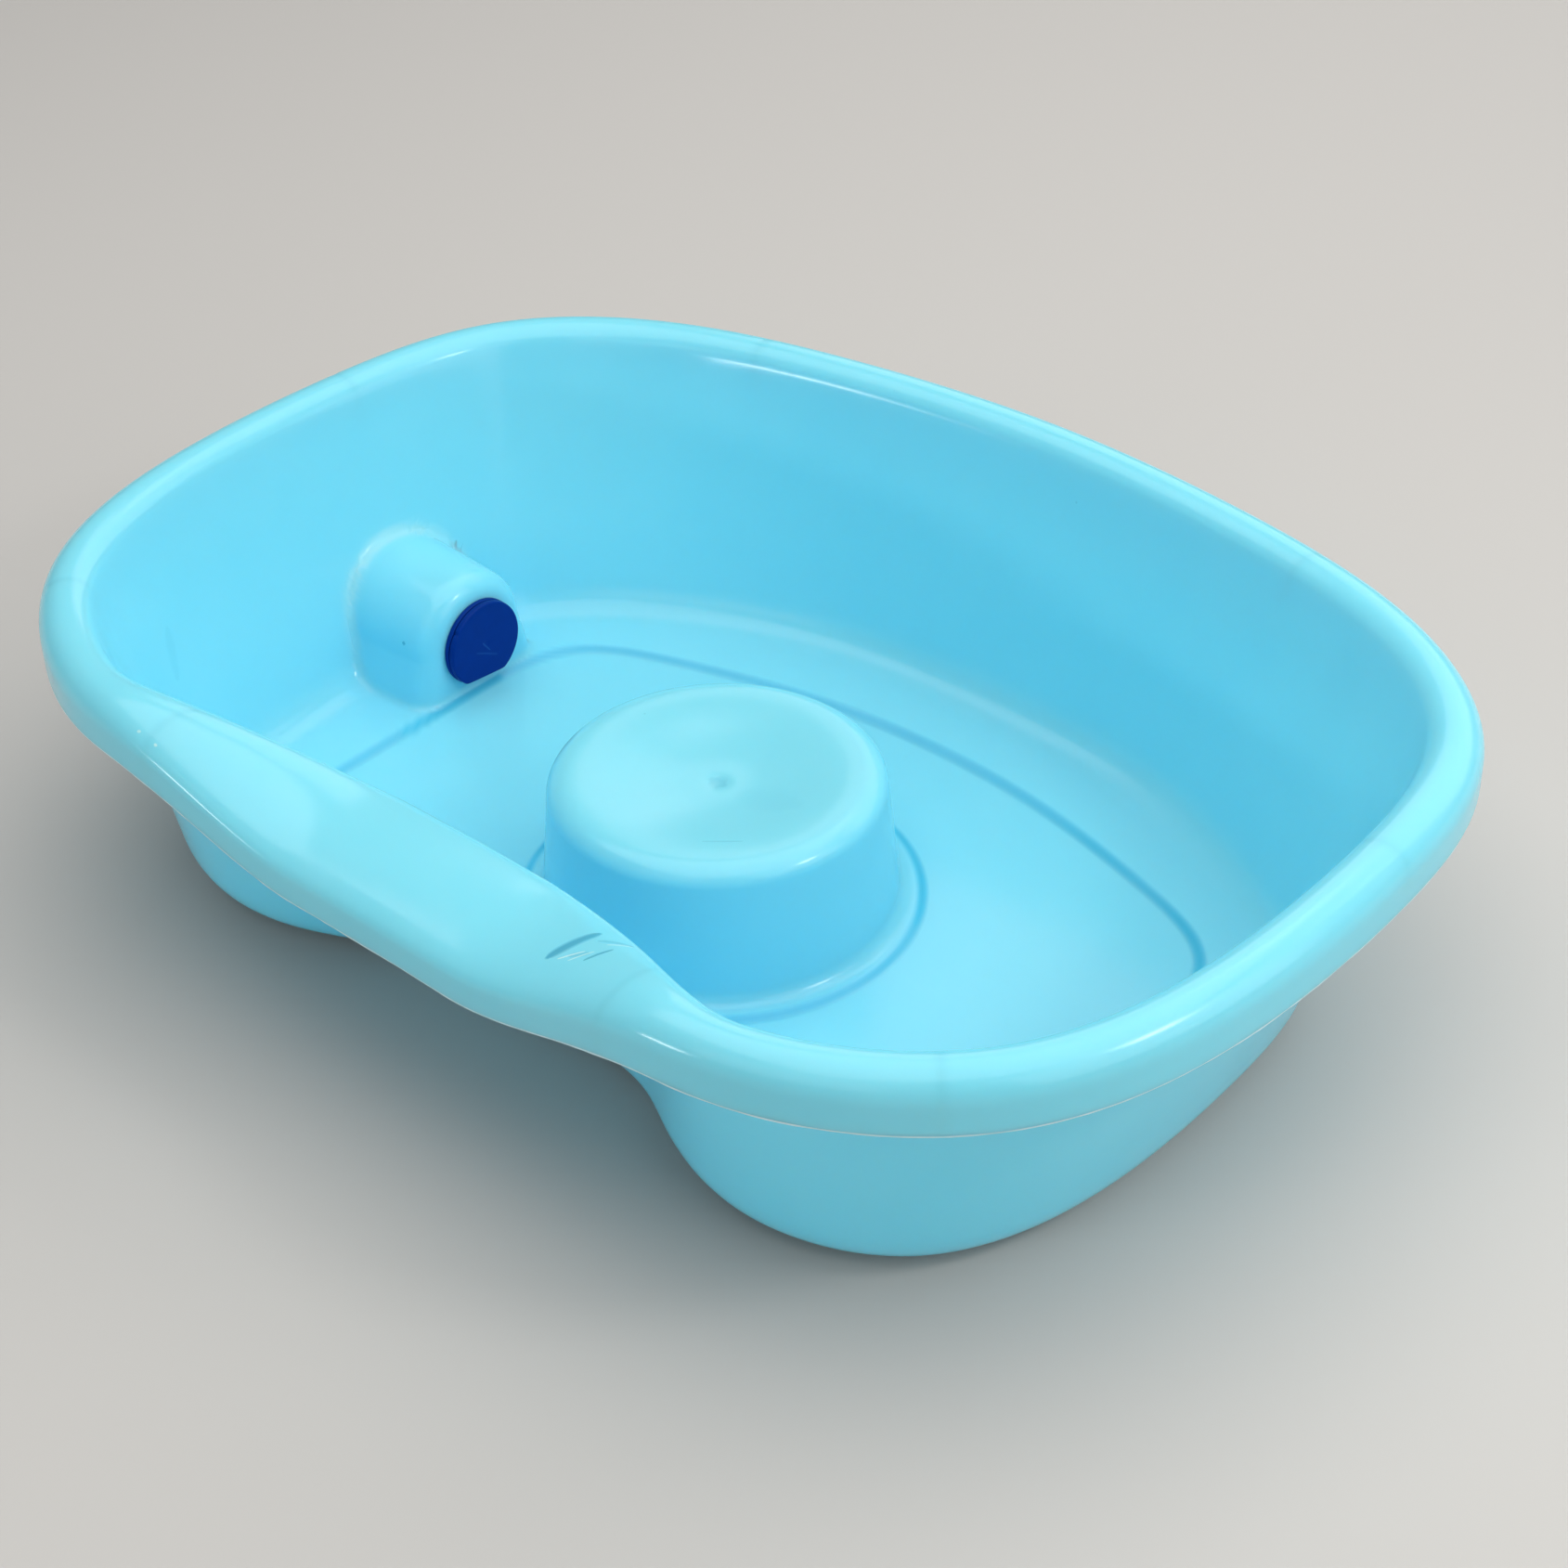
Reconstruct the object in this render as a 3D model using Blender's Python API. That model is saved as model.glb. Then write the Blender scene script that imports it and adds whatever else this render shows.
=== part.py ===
"""Portable shampoo basin: one thin moulded shell with a drain fitting in its left end wall.

The shell is lofted as a single skin, from the free lip of its rolled rim down to the top of the head rest,
and is then given its wall on the hidden side. X runs along the basin, the neck rest is at the front (-Y),
and the floor stands on Z = 0. All sizes are in metres.
"""

import math

import bmesh
import bpy
import numpy as np
from mathutils import Matrix, Vector
from mathutils.bvhtree import BVHTree

# Overall sizes of the moulding
LENGTH = 0.600
DEPTH = 0.4325
HEIGHT = 0.1385
WALL = 0.0026

# Rolled rim, open underneath, with cross ribs in its hollow
RIM_WIDTH = 0.024
RIM_CROWN = 0.012
LIP_DROP = 0.0235
RIB_THICKNESS = 0.002
RIB_RISE = 0.0026

# Neck rest, a wide stretch of the rim that dips in the middle
NECK_WIDTH = 0.0635
NECK_END = 0.180
NECK_LEVEL = 0.036
NECK_LIP_DROP = 0.0225
DIP = 0.024
DIP_END = 0.155
DIP_LEVEL = 0.042

# Foot of the wall, and the ledge that steps down to the floor
FOOT_FILLET = 0.020
LEDGE_RISE = 0.0022
LEDGE_RUN = 0.004

# Head rest, a hollow boss with a dished top, on a low collar
HEAD_BACK = 0.0197
HEAD_HEIGHT = 0.0656
HEAD_RADIUS = 0.0730
HEAD_DRAFT = 0.0045
HEAD_EDGE = 0.0085
HEAD_ROLL = 0.0110
HEAD_DISH = 0.0060
HEAD_FILLET = 0.0065
COLLAR_RADIUS = 0.0907
COLLAR_RISE = 0.0018
COLLAR_RUN = 0.002

# Drain fitting, all on one level axis
BORE_RADIUS = 0.0110
BARREL_WALL = 0.0040
BARREL_SPARE = 0.0030
FLANGE_WIDTH = 0.0067
FLANGE_THICKNESS = 0.0024
FLAT_HEIGHT = 0.0102
TAIL_BORE = 0.0080
TAIL_WALL = 0.0025
TAIL_LENGTH = 0.0260
BARB_RISE = 0.0012
GASKET_WIDTH = 0.0045
GASKET_THICKNESS = 0.0020
NUT_WALL = 0.0040
NUT_THICKNESS = 0.0070
NUT_CHAMFER = 0.0010
STOPPER_INSET = 0.0002
STOPPER_THICKNESS = 0.0030
STOPPER_ROUND = 0.0010
PLUG_STOP = 0.0024
RING_SECTION = 0.0024

# Drain boss, a rounded arch that stands in from the left end wall to carry the fitting
DRAIN_BACK = 0.0262
DRAIN_HEIGHT = 0.0282
DRAIN_MARGIN = 0.0103
DRAIN_EDGE = 0.0100
DRAIN_FILLET = 0.005
DRAIN_FOOT_FILLET = 0.004
DRAIN_STAND = 0.001

# Clearances, and how far a cutter runs past what it cuts
SEAT_GAP = 0.0003
HOLE_CLEARANCE = 0.0004
PLUG_CLEARANCE = 0.0004
RING_CLEARANCE = 0.0001
OVERRUN = 0.010

# Mesh counts
STATIONS = 80
HEAD_SIDES = 40
SIDES = 32
RING_SIDES = 8
HEX_SIDES = 6
PATCH_ROWS = 12
RELAX_STEPS = 24
SURFACE_STEPS = 3

# Control points of the three plan outlines, front centre to back centre, as shares of half the length
# and half the depth. The other half of each is its mirror image.
RIM_SHARES = (
    (0.000, -0.988), (0.203, -0.992), (0.362, -0.997), (0.522, -1.008), (0.697, -0.945), (0.894, -0.749),
    (0.998, -0.394), (1.006, 0.155), (0.964, 0.583), (0.713, 0.857), (0.379, 0.963), (0.000, 1.020),
)
FOOT_SHARES = (
    (0.000, -0.608), (0.205, -0.615), (0.279, -0.669), (0.337, -0.727), (0.494, -0.800), (0.716, -0.690),
    (0.812, -0.360), (0.812, 0.086), (0.787, 0.384), (0.574, 0.614), (0.290, 0.776), (0.000, 0.783),
)
STEP_SHARES = (
    (0.000, -0.551), (0.152, -0.552), (0.284, -0.556), (0.422, -0.615), (0.527, -0.622), (0.666, -0.488),
    (0.671, -0.270), (0.670, 0.077), (0.671, 0.381), (0.469, 0.480), (0.233, 0.574), (0.000, 0.598),
)

# Places along the profile and round the rim, and slopes, as shares
CROWN_SHARES = (0.0, 0.14, 0.30, 0.5, 0.70, 0.86, 0.93)
WALL_SHARES = (0.16, 0.36, 0.68)
FILLET_SHARES = (0.0, 0.25, 0.5, 0.75, 1.0)
FILLET_LIMIT_SHARE = 0.9
LEDGE_LIMIT_SHARE = 0.33
FLOOR_RING_SHARE = 0.24
HEAD_FILLET_SHARE = 0.3
HEAD_FLAT_SHARE = 0.15
DISH_SHARES = (0.75, 0.5, 0.25, 0.0)
RIB_SHARES = (0.107, 0.212, 0.320, 0.434, 0.566, 0.680, 0.788, 0.893)
DRAIN_DRAFT_SHARE = 0.06
DRAIN_FLARE_SHARE = 0.25
FLAT_SLOPE_SHARE = 0.10
PATCH_WIDTH_SHARE = 3.0
PROBE_SHARE = 0.05
LEAST_SLOPE_SHARE = 0.25
RELAX_SHARE = 0.7
BARB_SHARES = (
    (0.56, 0.0), (0.50, 1.0), (0.36, 0.0), (0.34, 0.0), (0.28, 1.0), (0.14, 0.0), (0.12, 0.0), (0.06, 1.0),
)
RING_PLACE_SHARE = 0.5

# Sizes that follow from those above
FLOOR = WALL
LEDGE = FLOOR + LEDGE_RISE
BARREL_RADIUS = BORE_RADIUS + BARREL_WALL
FLANGE_RADIUS = BARREL_RADIUS + FLANGE_WIDTH
ARCH_RADIUS = FLANGE_RADIUS + DRAIN_MARGIN
FLANGE_FACE = SEAT_GAP + FLANGE_THICKNESS
GASKET_FACE = -WALL - SEAT_GAP
NUT_FACE = GASKET_FACE - GASKET_THICKNESS - SEAT_GAP
BARREL_END = NUT_FACE - NUT_THICKNESS - BARREL_SPARE
PLUG_RADIUS = BORE_RADIUS - PLUG_CLEARANCE
PLUG_END = BARREL_END + PLUG_STOP
RING_ALONG = FLANGE_FACE + (PLUG_END - FLANGE_FACE) * RING_PLACE_SHARE
RING_RADIUS = BORE_RADIUS - RING_CLEARANCE - RING_SECTION / 2


def clear_scene():
    for item in list(bpy.data.objects):
        bpy.data.objects.remove(item, do_unlink=True)


def material(name, colour, roughness):
    made = bpy.data.materials.new(name)
    made.use_nodes = True
    shader = made.node_tree.nodes["Principled BSDF"]
    shader.inputs["Base Color"].default_value = (*colour, 1)
    shader.inputs["Roughness"].default_value = roughness
    shader.inputs["Metallic"].default_value = 0
    return made


def add_object(name, work, finish, parent=None):
    """A new object from a bmesh, with outward faces, smooth shading and sharp corners."""
    bmesh.ops.recalc_face_normals(work, faces=work.faces)
    mesh = bpy.data.meshes.new(name)
    work.to_mesh(mesh)
    work.free()
    mesh.materials.append(finish)
    mesh.shade_smooth()
    mesh.set_sharp_from_angle(angle=math.radians(35))
    made = bpy.data.objects.new(name, mesh)
    made.parent = parent
    bpy.context.scene.collection.objects.link(made)
    return made


def combine(item, tool, operation):
    """Joins, cuts or clips an object by a helper, which is seen as wire and never becomes a piece."""
    tool.hide_render = True
    tool.display_type = "WIRE"
    change = item.modifiers.new(operation.lower(), "BOOLEAN")
    change.operation = operation
    change.object = tool
    change.solver = "EXACT"


def add_ring(work, points):
    return [work.verts.new(point) for point in points]


def bridge(work, outer, inner):
    """Quads between two rings of as many points."""
    for k in range(len(outer)):
        after = (k + 1) % len(outer)
        work.faces.new((outer[k], outer[after], inner[after], inner[k]))


# The skin's plan outlines, and the profile that runs from one to the next

def outline(shares, at):
    """Points of a closed cubic B-spline at values from 0 to 1, from the front centre round by +X."""
    half = np.array(shares) * (LENGTH / 2, DEPTH / 2)
    points = np.concatenate([half, half[-2:0:-1] * (-1, 1)])
    place = np.asarray(at) % 1 * len(points)
    first = np.floor(place).astype(int)
    f = (place - first)[:, None]
    weights = ((1 - f) ** 3, 3 * f**3 - 6 * f**2 + 4, -3 * f**3 + 3 * f**2 + 3 * f + 1, f**3)
    return sum(w * points[(first + k - 1) % len(points)] for k, w in enumerate(weights)) / 6


def level(plan, height):
    """Points of a plan at one height, or at a height each."""
    return np.column_stack([plan, np.broadcast_to(height, len(plan))])


def toward(start, end):
    """Unit vectors from each start to its end, and the distances."""
    gap = end - start
    size = np.linalg.norm(gap, axis=1)[:, None]
    return gap / size, size


def inward(at):
    """Unit vectors across the rim, towards the inside."""
    small = PROBE_SHARE / STATIONS
    along, _ = toward(outline(RIM_SHARES, at - small), outline(RIM_SHARES, at + small))
    return np.stack([-along[:, 1], along[:, 0]], axis=1)


def neck_weight(plan, end, flat):
    """1 along the middle of the neck rest, 0 on the plain rim, and a soft change between."""
    s = np.clip((end - np.abs(plan[:, 0])) / (end - flat), 0, 1)
    return np.where(plan[:, 1] < 0, s * s * (3 - 2 * s), 0)


def rim_rings(at):
    """Rings over the rim: the lip, then the crown from its outer side to its inner side."""
    plan = outline(RIM_SHARES, at)
    across = inward(at)
    widen = neck_weight(plan, NECK_END, NECK_LEVEL)
    dip = neck_weight(plan, DIP_END, DIP_LEVEL)
    half_width = (RIM_WIDTH + (NECK_WIDTH - RIM_WIDTH) * widen) / 2
    top = HEIGHT - DIP * dip
    rings = [level(plan, top - LIP_DROP - (NECK_LIP_DROP - LIP_DROP) * dip)]
    for share in CROWN_SHARES:
        turn = math.pi * share
        reach = half_width * (1 - math.cos(turn))
        rings.append(level(plan + across * reach[:, None], top - RIM_CROWN * (1 - math.sin(turn))))
    return rings


def profile(at):
    """Rings of the skin from the lip to the floor, as an array of rings, stations and coordinates."""
    rings = rim_rings(at)
    brow = rings[-1]
    corner = level(outline(FOOT_SHARES, at), LEDGE)
    edge = level(outline(STEP_SHARES, at), LEDGE)
    up, wall_size = toward(corner, brow)
    flat, ledge_size = toward(corner, edge)
    half_angle = np.arccos((up * flat).sum(axis=1))[:, None] / 2
    reach = np.minimum(FOOT_FILLET / np.tan(half_angle), ledge_size * FILLET_LIMIT_SHARE)
    for share in WALL_SHARES:
        rings.append(corner + up * (reach + (wall_size - reach) * (1 - share)))
    for share in FILLET_SHARES:
        rings.append(corner + up * reach * (1 - share) ** 2 + flat * reach * share**2)
    rings.append(edge)
    centre = np.array([(0, -HEAD_BACK, LEDGE)])
    down, distance = toward(edge, centre)
    room = distance - COLLAR_RADIUS
    run = np.minimum(LEDGE_RUN, room * LEDGE_LIMIT_SHARE)
    for travel in (run, run + (room - run) * FLOOR_RING_SHARE):
        rings.append(level((edge + down * travel)[:, :2], FLOOR))
    return np.array(rings)


def head_rings():
    """Rings of the head rest, from the collar's outer edge to the flat in the middle of its dish."""
    collar = FLOOR + COLLAR_RISE
    top = FLOOR + HEAD_HEIGHT
    foot = HEAD_RADIUS + HEAD_DRAFT
    hollow = HEAD_FILLET * HEAD_FILLET_SHARE
    points = [
        (COLLAR_RADIUS, FLOOR),
        (COLLAR_RADIUS - COLLAR_RUN, collar),
        (foot + HEAD_FILLET, collar),
        (foot + hollow, collar + hollow),
        (foot, collar + HEAD_FILLET),
    ]
    for turn in np.radians((0, 30, 60, 90)):
        radius = HEAD_RADIUS - HEAD_ROLL * (1 - math.cos(turn))
        points.append((radius, top - HEAD_EDGE * (1 - math.sin(turn))))
    crest = HEAD_RADIUS - HEAD_ROLL
    for share in DISH_SHARES:
        radius = crest * (HEAD_FLAT_SHARE + (1 - HEAD_FLAT_SHARE) * share)
        points.append((radius, top - HEAD_DISH * (1 - share**2) ** 2))
    turns = np.arange(HEAD_SIDES) / HEAD_SIDES * math.tau - math.pi / 2
    around = np.stack([np.cos(turns), np.sin(turns)], axis=1)
    return [level(around * radius - (0, HEAD_BACK), height) for radius, height in points]


# The drain boss, as a smooth union of two distances: to the plain skin and to a rounded arch

def drain_centre():
    """Where the drain's axis meets the inner face of the boss."""
    step = outline(STEP_SHARES, np.linspace(0.5, 1, STATIONS * 4))
    nearest = np.argmin(np.abs(step[:, 1] - DRAIN_BACK))
    return Vector((step[nearest, 0] + DRAIN_STAND, DRAIN_BACK, DRAIN_HEIGHT))


def skin_distance(point, tree):
    place, normal, _, _ = tree.find_nearest(point)
    gap = point - place
    return math.copysign(gap.length, gap.dot(normal))


def arch_distance(point, centre):
    """Distance to the arch, below zero inside it. It widens to wall and floor, and its front is round."""
    radius = ARCH_RADIUS + DRAIN_DRAFT_SHARE * (centre.x - point.x)
    radius += DRAIN_FLARE_SHARE * max(centre.z - point.z, 0)
    side = math.hypot(point.y - centre.y, max(point.z - centre.z, 0)) - radius + DRAIN_EDGE
    front = point.x - centre.x + DRAIN_EDGE
    return min(max(side, front), 0) + math.hypot(max(side, 0), max(front, 0)) - DRAIN_EDGE


def union_distance(point, tree, centre):
    """Distance to skin and arch together, with a fillet between them that grows with height."""
    skin = skin_distance(point, tree)
    arch = arch_distance(point, centre)
    climb = min(max((point.z - FLOOR) / centre.z, 0), 1)
    fillet = DRAIN_FOOT_FILLET + (DRAIN_FILLET - DRAIN_FOOT_FILLET) * climb
    return max(fillet, min(skin, arch)) - math.hypot(max(fillet - skin, 0), max(fillet - arch, 0))


def onto_surface(point, tree, centre):
    """Moves a point along the slope of the distance to the surface, and never below the floor."""
    small = WALL * PROBE_SHARE
    for _ in range(SURFACE_STEPS):
        here = union_distance(point, tree, centre)
        slope = Vector([
            union_distance(point + Vector(axis) * small, tree, centre) - here
            for axis in ((1, 0, 0), (0, 1, 0), (0, 0, 1))
        ]) / small
        point = point - slope * (here / max(slope.length_squared, LEAST_SLOPE_SHARE))
        point.z = max(point.z, FLOOR)
    return point


def arch_edge(centre, angle):
    """A point of the arch's outline on the boss face, in one direction from the axis."""
    side = abs(math.cos(angle))
    rise = math.sin(angle)
    size = ARCH_RADIUS
    if rise < 0:
        down = (centre.z - FLOOR) / -rise
        wide = ARCH_RADIUS + DRAIN_FLARE_SHARE * (centre.z - FLOOR)
        size = down if side * down < wide else ARCH_RADIUS / (side + DRAIN_FLARE_SHARE * rise)
    return centre + Vector((0, math.cos(angle), rise)) * size


def spread(path, count):
    """Evenly spaced points along a run of points."""
    path = np.array([tuple(point) for point in path])
    length = np.concatenate([[0], np.cumsum(np.linalg.norm(np.diff(path, axis=0), axis=1))])
    at = np.linspace(0, length[-1], count)
    return np.stack([np.interp(at, length, path[:, k]) for k in range(3)], axis=1)


def boss_rings(border, tree):
    """Rings from the border of the opened skin to the spout's hole, relaxed over the smooth union."""
    centre = drain_centre()
    hole = BARREL_RADIUS + HOLE_CLEARANCE
    seen = np.unwrap([math.atan2(point[2] - centre.z, point[1] - centre.y) for point in border])
    even = math.copysign(math.tau, seen[-1] - seen[0]) * np.arange(len(border)) / len(border)
    even += np.mean(seen - even)
    spokes = []
    for point, angle in zip(border, even):
        edge = arch_edge(centre, angle)
        foot = tree.ray_cast(edge, Vector((-1, 0, 0)))[0] or edge
        rim = centre + Vector((0, math.cos(angle), math.sin(angle))) * hole
        spokes.append(spread([point, foot, edge, rim], PATCH_ROWS + 1))
    rows = np.array(spokes).transpose(1, 0, 2)
    for _ in range(RELAX_STEPS):
        mean = (rows[:-2] + rows[2:] + np.roll(rows, 1, 1)[1:-1] + np.roll(rows, -1, 1)[1:-1]) / 4
        rows[1:-1] += RELAX_SHARE * (mean - rows[1:-1])
        for ring in rows[1:-1]:
            for place, point in enumerate(ring):
                ring[place] = onto_surface(Vector(point), tree, centre)
    return rows


def open_patch(work, rings):
    """Takes out the skin where the drain boss goes, and returns the border round the opening."""
    top = len(CROWN_SHARES)
    bottom = len(rings) - 1
    reach = ARCH_RADIUS * PATCH_WIDTH_SHARE
    columns = [
        k for k in range(STATIONS // 2, STATIONS) if abs(rings[top][k].co.y - DRAIN_BACK) < reach
    ]
    left = columns[0]
    right = columns[-1]
    border = [rings[top][k] for k in range(left, right)]
    border += [rings[row][right] for row in range(top, bottom)]
    border += [rings[bottom][k] for k in range(right, left, -1)]
    border += [rings[row][left] for row in range(bottom, top, -1)]
    inside = [rings[row][k] for row in range(top + 1, bottom) for k in range(left + 1, right)]
    bmesh.ops.delete(work, geom=inside, context="VERTS")
    return border


def skin_mesh():
    """The basin's visible skin, open at the lip and at the spout's hole."""
    work = bmesh.new()
    rings = [add_ring(work, ring) for ring in profile(np.arange(STATIONS) / STATIONS)]
    for outer, inner in zip(rings, rings[1:]):
        bridge(work, outer, inner)
    tree = BVHTree.FromBMesh(work)
    ring = open_patch(work, rings)
    for row in boss_rings([vert.co.copy() for vert in ring], tree)[1:]:
        following = add_ring(work, row)
        bridge(work, ring, following)
        ring = following
    head = [add_ring(work, points) for points in head_rings()]
    for outer, inner in zip(head, head[1:]):
        bridge(work, outer, inner)
    work.faces.new(head[-1])
    work.edges.ensure_lookup_table()
    border = set(rings[-1]) | set(head[0])
    edges = [edge for edge in work.edges if len(edge.link_faces) == 1 and border.issuperset(edge.verts)]
    bmesh.ops.bridge_loops(work, edges=edges)
    return work


def rib_mesh():
    """Cross ribs in the hollow of the rim, each on the middle of the wall at its own station."""
    at = np.array(RIB_SHARES)
    rings = profile(at)
    crown = rings[1:1 + len(CROWN_SHARES)]
    base = (rings[0, :, 2] + RIB_RISE)[:, None]
    brow = crown[-1]
    foot = rings[1 + len(CROWN_SHARES)]
    wall = brow + (foot - brow) * (brow[:, 2:] - base) / (brow[:, 2:] - foot[:, 2:])
    across = level(inward(at), 0)
    along = np.cross(across, (0, 0, RIB_THICKNESS / 2))
    work = bmesh.new()
    for k in range(len(at)):
        middle = (crown[0, k] + brow[k]) / 2
        deeper, _ = toward(crown[:, k], middle[None])
        points = list(crown[:, k] + deeper * WALL / 2)
        points.append(wall[k] - across[k] * WALL / 2)
        points.append((*(crown[0, k] + across[k] * WALL / 2)[:2], base[k, 0]))
        sides = []
        for way in (-1, 1):
            sides.append(add_ring(work, [point + along[k] * way for point in points]))
            work.faces.new(sides[-1])
        bridge(work, *sides)
    return work


def make_shell(finish):
    """The moulding: the skin, its wall on the hidden side, and the ribs in its rim."""
    shell = add_object("basin_shell", skin_mesh(), finish)
    wall = shell.modifiers.new("wall", "SOLIDIFY")
    wall.thickness = WALL
    wall.offset = -1
    wall.use_even_offset = True
    combine(shell, add_object("rim_ribs", rib_mesh(), finish), "UNION")


# Pieces of the drain fitting, each about its parent, which stands where the axis meets the boss face

def circle(radius, along, sides, start=0.5):
    """Points round the axis, which runs along X."""
    turns = [math.tau * (k + start) / sides for k in range(sides)]
    return [(along, radius * math.cos(turn), radius * math.sin(turn)) for turn in turns]


def turned(points):
    """A closed body turned about the axis, from a loop of radius and place along it."""
    work = bmesh.new()
    rings = [add_ring(work, circle(radius, along, SIDES)) for radius, along in points]
    for outer, inner in zip(rings, rings[1:] + rings[:1]):
        bridge(work, outer, inner)
    return work


def turned_solid(points):
    """The same for a run of points that is closed at both ends by a flat disc."""
    work = bmesh.new()
    rings = [add_ring(work, circle(radius, along, SIDES)) for radius, along in points]
    for outer, inner in zip(rings, rings[1:]):
        bridge(work, outer, inner)
    work.faces.new(rings[0])
    work.faces.new(rings[-1])
    return work


def cut_flat(item, finish, start, end):
    """Cuts the flat side above the floor, which slopes a little, as the fitting is screwed home."""
    wide = FLANGE_RADIUS + OVERRUN
    low = Vector((start, -wide, -wide))
    size = Vector((end - start, 2 * wide, wide - DRAIN_HEIGHT + FLAT_HEIGHT))
    work = bmesh.new()
    bmesh.ops.create_cube(work, size=1)
    bmesh.ops.scale(work, vec=size, verts=work.verts)
    bmesh.ops.translate(work, vec=low + size / 2, verts=work.verts)
    slope = Matrix.Rotation(-math.atan(FLAT_SLOPE_SHARE), 3, "X")
    bmesh.ops.rotate(work, cent=(0, 0, 0), matrix=slope, verts=work.verts)
    combine(item, add_object(item.name + "_flat", work, finish, item.parent), "DIFFERENCE")


def make_spout(axis, finish):
    """Flange against the boss, barrel through its wall, and a barbed tail for a hose."""
    tail_radius = TAIL_BORE + TAIL_WALL
    tail_end = BARREL_END - TAIL_LENGTH
    points = [
        (BORE_RADIUS, FLANGE_FACE),
        (FLANGE_RADIUS, FLANGE_FACE),
        (FLANGE_RADIUS, SEAT_GAP),
        (BARREL_RADIUS, SEAT_GAP),
        (BARREL_RADIUS, BARREL_END),
        (tail_radius, BARREL_END),
    ]
    for share, rise in BARB_SHARES:
        points.append((tail_radius + BARB_RISE * rise, tail_end + TAIL_LENGTH * share))
    points += [
        (tail_radius, tail_end),
        (TAIL_BORE, tail_end),
        (TAIL_BORE, BARREL_END),
        (BORE_RADIUS, PLUG_END - SEAT_GAP),
    ]
    spout = add_object("drain_spout", turned(points), finish, axis)
    cut_flat(spout, finish, 0, FLANGE_FACE + OVERRUN)


def make_gasket(axis, finish):
    """Flat rubber washer between the boss wall and the nut."""
    inner = BARREL_RADIUS + SEAT_GAP
    outer = BARREL_RADIUS + GASKET_WIDTH
    back = GASKET_FACE - GASKET_THICKNESS
    points = [(inner, GASKET_FACE), (outer, GASKET_FACE), (outer, back), (inner, back)]
    add_object("spout_gasket", turned(points), finish, axis)


def make_nut(axis, finish):
    """Six-sided nut round the barrel, with the corners of both faces turned off."""
    hole = BARREL_RADIUS + SEAT_GAP
    corner = (hole + NUT_WALL) / math.cos(math.pi / HEX_SIDES)
    back = NUT_FACE - NUT_THICKNESS
    nut = add_object("spout_nut", turned([
        (hole, NUT_FACE),
        (corner - NUT_CHAMFER, NUT_FACE),
        (corner, NUT_FACE - NUT_CHAMFER),
        (corner, back + NUT_CHAMFER),
        (corner - NUT_CHAMFER, back),
        (hole, back),
    ]), finish, axis)
    work = bmesh.new()
    ends = []
    for along in (NUT_FACE + OVERRUN, back - OVERRUN):
        ends.append(add_ring(work, circle(corner, along, HEX_SIDES, 0)))
        work.faces.new(ends[-1])
    bridge(work, *ends)
    combine(nut, add_object("nut_flats", work, finish, axis), "INTERSECT")


def make_stopper(axis, finish):
    """Head with one flat side, and a plug with a groove for its O-ring."""
    seat = FLANGE_FACE + SEAT_GAP
    face = seat + STOPPER_THICKNESS
    radius = FLANGE_RADIUS - STOPPER_INSET
    half_groove = RING_SECTION / 2 + SEAT_GAP
    groove_floor = RING_RADIUS - half_groove
    stopper = add_object("drain_stopper", turned_solid([
        (radius - STOPPER_ROUND, face),
        (radius, face - STOPPER_ROUND),
        (radius, seat),
        (PLUG_RADIUS, seat),
        (PLUG_RADIUS, RING_ALONG + half_groove),
        (groove_floor, RING_ALONG + half_groove),
        (groove_floor, RING_ALONG - half_groove),
        (PLUG_RADIUS, RING_ALONG - half_groove),
        (PLUG_RADIUS, PLUG_END),
    ]), finish, axis)
    cut_flat(stopper, finish, 0, face + OVERRUN)


def make_ring(axis, finish):
    """O-ring in the plug's groove."""
    section = circle(RING_SECTION / 2, 0, RING_SIDES)
    points = [(RING_RADIUS + across, RING_ALONG + along) for _, across, along in section]
    add_object("stopper_o_ring", turned(points), finish, axis)


clear_scene()
blue = material("pale_blue_polypropylene", (0.22, 0.68, 0.86), 0.35)
navy = material("navy_plastic", (0.005, 0.03, 0.22), 0.40)
rubber = material("black_rubber", (0.015, 0.015, 0.018), 0.70)
make_shell(blue)
drain_axis = bpy.data.objects.new("drain_axis", None)
drain_axis.location = drain_centre()
bpy.context.scene.collection.objects.link(drain_axis)
make_spout(drain_axis, navy)
make_gasket(drain_axis, rubber)
make_nut(drain_axis, navy)
make_stopper(drain_axis, navy)
make_ring(drain_axis, rubber)
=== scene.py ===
"""The dressed portable shampoo basin: a moulded blue shell with a dark blue drain fitting and its stopper."""

import math

import bmesh
import bpy
import numpy as np
from mathutils import Matrix, Vector
from mathutils.bvhtree import BVHTree


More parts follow.
